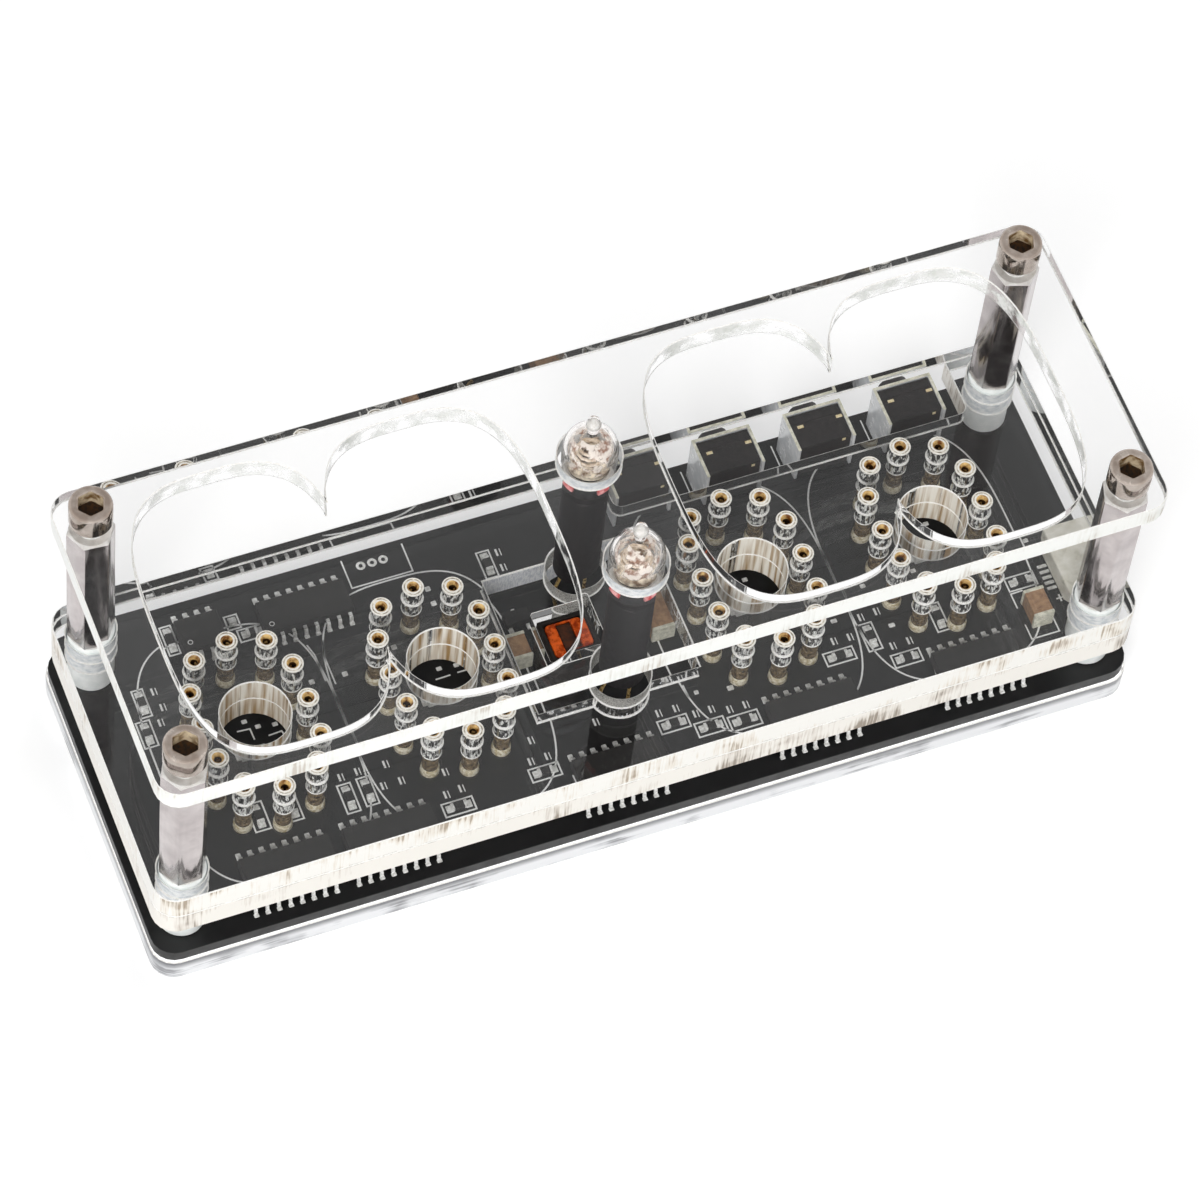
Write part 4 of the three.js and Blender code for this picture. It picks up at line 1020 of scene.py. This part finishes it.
def switch_bracket(x):
    """Bent sheet round the case, with a round hole for the plunger in its back."""
    shape = Shape().at(x, 0, BOARD_TOP)
    for side in (-1, 1):
        inner, outer = side * 3.02, side * CAGE_HALF
        shape.block(inner, outer, 13.4, CAGE_BACK, 0, CAGE_TOP, 0.06)
        shape.block(inner, outer, 13.38, CAGE_BACK, CAGE_TOP, 7.0, 0.02, 1)
    shape.block(-CASE_HALF, CASE_HALF, 18.02, CAGE_BACK, CAGE_TOP, 7.0, 0.02, 1)
    shape.at(x, CAGE_BACK, BOARD_TOP, FACE_BACK)
    hole = (circle(0, PLUNGER_Z, 3.54, 40), 0, 0.04)
    shape.sheet(rounded(-3.3, 3.3, 0, CAGE_TOP, 0.06, 2), 0, 0.33, 0.04, [hole])
    return shape


def plunger(x):
    shape = Shape().at(x, 17.12, BOARD_TOP + PLUNGER_Z, spun(-90, "X"))
    shape.turned(PLUNGER_PROFILE, sides=40)
    return shape


for number, x in enumerate(SWITCH_XS, 1):
    case, cage, button = [f"switch_{part}_{number}" for part in ("case", "cage", "button")]
    body, bracket = f"switch_body_{number}", f"switch_bracket_{number}"
    piece(case, switch_body(x), [SWITCH, SWITCH_MARK], [body])
    piece(cage, switch_bracket(x), [BRACKET, CREAM], [bracket])
    tip = [f"button_plunger_{number}"]
    piece(button, plunger(x), [SWITCH], tip, f"button_{number}")

# ---- chips and small parts


LEAD_PITCH = 1.27
LEAD_HALF = 0.19
# Side view of a lead, from the body out to the tip of its foot
LEAD_PATH = [(1.85, 0.9), (2.35, 0.9), (2.5, 0.75), (2.6, 0.2), (2.72, 0.1), (3.0, 0.1)]


def gull_wing(shape, x, side):
    """One flat bent lead, 0.2 thick."""
    rings = []
    for i, (y, z) in enumerate(LEAD_PATH):
        back, ahead = LEAD_PATH[max(i - 1, 0)], LEAD_PATH[min(i + 1, len(LEAD_PATH) - 1)]
        along = (Vector(ahead) - Vector(back)).normalized() * 0.1
        ring = []
        for across, way in ((-1, 1), (1, 1), (1, -1), (-1, -1)):
            lead_x = x + across * LEAD_HALF
            ring.append((lead_x, side * (y - way * along.y), z + way * along.x))
        rings.append(ring)
    shape.rings(rings, 1)
    for ring in (rings[0], rings[-1]):
        shape.add(ring, [[0, 1, 2, 3]], 1)


def chip(x, y, leads):
    """A chip with that many leads on each long side, and a pad under each foot."""
    shape = Shape().at(x, y, BOARD_TOP)
    span = (leads - 1) * LEAD_PITCH
    half = span / 2 + 0.5
    shape.block(-half, half, -1.95, 1.95, 0.2, 1.7, 0.12)
    shape.line(circle(-half + 0.9, -1.1, 0.5, 16), 0.08, 1.71, 2, closed=True)
    for index in range(leads):
        lead_x = index * LEAD_PITCH - span / 2
        for side, near, far in ((-1, -3.08, -2.6), (1, 2.6, 3.45)):
            gull_wing(shape, lead_x, side)
            shape.patch(rounded(lead_x - 0.28, lead_x + 0.28, near, far, 0.1, 2), 0.03, 1)
    return shape


chips = [(f"driver_chip_{i + 1}", x, DRIVER_Y, 8) for i, x in enumerate(DRIVER_XS)]
chips += [("controller_chip", -27.6, 14.3, 8), ("timekeeper_chip", -39.05, 14.9, 4)]
for node, x, y, leads in chips:
    piece(f"{node}_body", chip(x, y, leads), [CHIP, TIN, PRINT], [node])


def capacitor(x, y, width, length):
    shape = Shape().at(x, y, BOARD_TOP)
    half = length / 2
    shape.block(-width / 2, width / 2, -half + 0.3, half - 0.3, 0.06, 2.44, 0.12)
    cap = width / 2 + 0.06
    for side in (-1, 1):
        shape.block(-cap, cap, side * (half - 0.4), side * half, 0, 2.5, 0.1, 1)
    return shape


for node, x, y, width, length in (
    ("supply_capacitor", -7.55, 2.7, 2.1, 3.2),
    ("boost_capacitor", 7.7, 1.6, 2.5, 4.8),
    ("inlet_capacitor", 47.0, -10.6, 2.2, 3.5),
):
    block = capacitor(x, y, width, length)
    piece(f"{node}_block", block, [CERAMIC, CREAM], [node])


def transistor():
    shape = Shape().at(-6.1, 6.9, BOARD_TOP)
    shape.block(-1.45, 1.45, -0.8, 0.8, 0.05, 1.1, 0.1)
    for x, side in ((-0.95, -1), (0.95, -1), (0, 1)):
        shape.block(x - 0.2, x + 0.2, side * 0.75, side * 1.4, 0, 0.3, 0.06, 1)
    return shape


INDUCTOR = (-3.55, -0.8)


def inductor_case():
    """Square case, its upper part a pocket for the winding."""
    shape = Shape().at(*INDUCTOR, BOARD_TOP)
    outline = rounded(-2.7, 2.7, -2.7, 2.7, 0.2, 3)
    pocket = (rounded(-2.2, 2.2, -2.2, 2.2, 0.4, 3), 0, 0.12)
    shape.sheet(outline, 0, 5.9, 0.1)
    shape.sheet(outline, 5.9, 9.0, 0.15, [pocket])
    return shape


def inductor_winding():
    """Flat wire wound on edge in the case's pocket."""
    shape = Shape().at(*INDUCTOR, BOARD_TOP + 6.0)
    outline = rounded(-2.12, 2.12, -2.12, 2.12, 0.6, 4)
    core = (rounded(-0.85, 0.85, -1.95, 1.95, 0.15, 2), 0, 0.08)
    for turn in range(7):
        shape.sheet(outline, turn * 0.4, turn * 0.4 + 0.36, 0.08, [core])
    shape.block(-0.8, 0.8, -1.9, 1.9, 0, 2.5, 0.1, 1)
    return shape


def inlet_section(inset):
    half, top = 4.0 - inset, 2.7 - inset
    points = [(-half + 0.9, inset), (half - 0.9, inset), (half, inset + 0.9), (half, top)]
    points += [(-half, top), (-half, inset + 0.9)]
    return [Vector(p) for p in points]


def inlet_shell():
    """Sheet-metal shell, its mouth towards +X."""
    turn = Matrix(((0, 0, 1, 0), (1, 0, 0, 0), (0, 1, 0, 0), (0, 0, 0, 1)))
    shape = Shape().at(50.45, -7.0, BOARD_TOP, turn)
    outer, inner = inlet_section(0), inlet_section(0.35)
    broken, mouth = moved_out(outer, -0.1), moved_out(inner, 0.08)
    way = [(broken, 0), (outer, 0.1), (outer, 5.4), (broken, 5.5)]
    way += [(mouth, 5.5), (inner, 5.4), (inner, 0.35)]
    shape.rings([level(*ring) for ring in way], 0)
    shape.patch(broken, 0)
    shape.patch(inner, 0.35)
    return shape


def inlet_tongue():
    shape = Shape()
    shape.block(50.95, 52.35, -9.5, -4.5, 5.3, 7.0, 0.08)
    shape.block(52.2, 55.05, -9.5, -4.5, 5.85, 6.45, 0.1)
    return shape


piece("transistor_body", transistor(), [CHIP, TIN], ["boost_transistor"])
piece("inductor_core", inductor_case(), [FERRITE], ["inductor_case"])
wound = [COPPER, WINDING_DARK]
piece("inductor_wire", inductor_winding(), wound, ["inductor_winding"])
piece("inlet_can", inlet_shell(), [INLET], ["power_inlet_shell"])
piece("inlet_blade", inlet_tongue(), [SWITCH], ["power_inlet_tongue"])

# ---- surroundings


FLOOR_HALF = 6.0
FLOOR_GREY = (0.8, 0.8, 0.8, 1)
FLOOR_GLOW = 0.32
SKY_LIGHT = 0.45
# The sky in gloss and glass, darker overhead: height, grey
SKY_GREYS = [(0.0, 1.0), (0.35, 0.95), (0.62, 0.42), (0.8, 0.3), (1.0, 0.3)]
# Lamps: name, place in metres, width, power
STUDIO_LAMPS = [("key", (-0.5, -0.75, 0.75), 0.6, 8.5), ("fill", (0.7, 0.4, 1.0), 0.8, 3.1)]
# The camera, high over the front left corner: place in metres, its axes, its lens
EYE = (-0.1561, -0.3002, 0.5727)
EYE_RIGHT = Vector((0.9319, -0.3559, 0.0696))
EYE_BACK = Vector((-0.2402, -0.4621, 0.8537))
LENS = 185.67
SENSOR = 36.0


def floor_material():
    """White floor that still takes the object's shadow."""
    look = Finish("floor_white")
    path = look.node("ShaderNodeLightPath").outputs
    seen = look.math("MAXIMUM", path["Is Camera Ray"], path["Is Glossy Ray"])
    seen = look.math("MAXIMUM", seen, path["Is Transmission Ray"])
    strength = look.math("MULTIPLY", seen, FLOOR_GLOW)
    matt = look.node("ShaderNodeBsdfDiffuse", Color=FLOOR_GREY).outputs["BSDF"]
    glow = look.node("ShaderNodeEmission", Color=WHITE, Strength=strength)
    both = look.node("ShaderNodeAddShader", matt, glow.outputs["Emission"])
    return look.shown(both.outputs["Shader"])


def floor():
    mesh = bpy.data.meshes.new("floor")
    half = FLOOR_HALF
    corners = [(-half, -half, 0), (half, -half, 0), (half, half, 0), (-half, half, 0)]
    mesh.from_pydata(corners, [], [(0, 1, 2, 3)])
    mesh.materials.append(floor_material())
    obj = placed("floor", mesh)


def surroundings():
    """White all round for the camera; for gloss and glass, greyer overhead."""
    world = bpy.data.worlds.new("studio")
    bpy.context.scene.world = world
    world.use_nodes = True
    sky = Nodes(world.node_tree)
    way = sky.node("ShaderNodeTexCoord").outputs["Generated"]
    height = sky.node("ShaderNodeSeparateXYZ", way).outputs["Z"]
    greys = sky.band(height, [(place, (grey, grey, grey, 1)) for place, grey in SKY_GREYS])
    path = sky.node("ShaderNodeLightPath").outputs
    seen = sky.math("MAXIMUM", path["Is Glossy Ray"], path["Is Transmission Ray"])
    light = sky.node("ShaderNodeBackground", Color=WHITE, Strength=SKY_LIGHT).outputs[0]
    white = sky.node("ShaderNodeBackground", Color=WHITE).outputs[0]
    mirror = sky.node("ShaderNodeBackground", Color=greys).outputs[0]
    straight = sky.blended(path["Is Camera Ray"], light, white)
    surface = sky.blended(seen, straight, mirror)
    sky.set(sky.tree.nodes["World Output"], Surface=surface)


def soft_lamp(name, where, size, power):
    """Round lamp that looks at the object and shows in nothing."""
    data = bpy.data.lights.new(name, "AREA")
    data.shape = "DISK"
    data.size = size
    data.energy = power
    lamp = placed(name, data)
    lamp.location = where
    lamp.rotation_mode = "QUATERNION"
    lamp.rotation_quaternion = (-Vector(where)).to_track_quat("-Z", "Y")
    lamp.visible_glossy = False
    lamp.visible_transmission = False
    lamp.visible_camera = False


def camera():
    data = bpy.data.cameras.new("camera")
    data.lens = LENS
    data.sensor_width = SENSOR
    data.clip_start = 0.01
    data.clip_end = 20
    eye = placed("camera", data)
    back = EYE_BACK.normalized()
    up = back.cross(EYE_RIGHT.normalized()).normalized()
    axes = Matrix((up.cross(back), up, back)).transposed()
    eye.matrix_world = Matrix.Translation(EYE) @ axes.to_4x4()
    bpy.context.scene.camera = eye


floor()
surroundings()
for lamp in STUDIO_LAMPS:
    soft_lamp(*lamp)
camera()
bpy.context.scene.view_settings.view_transform = "Standard"
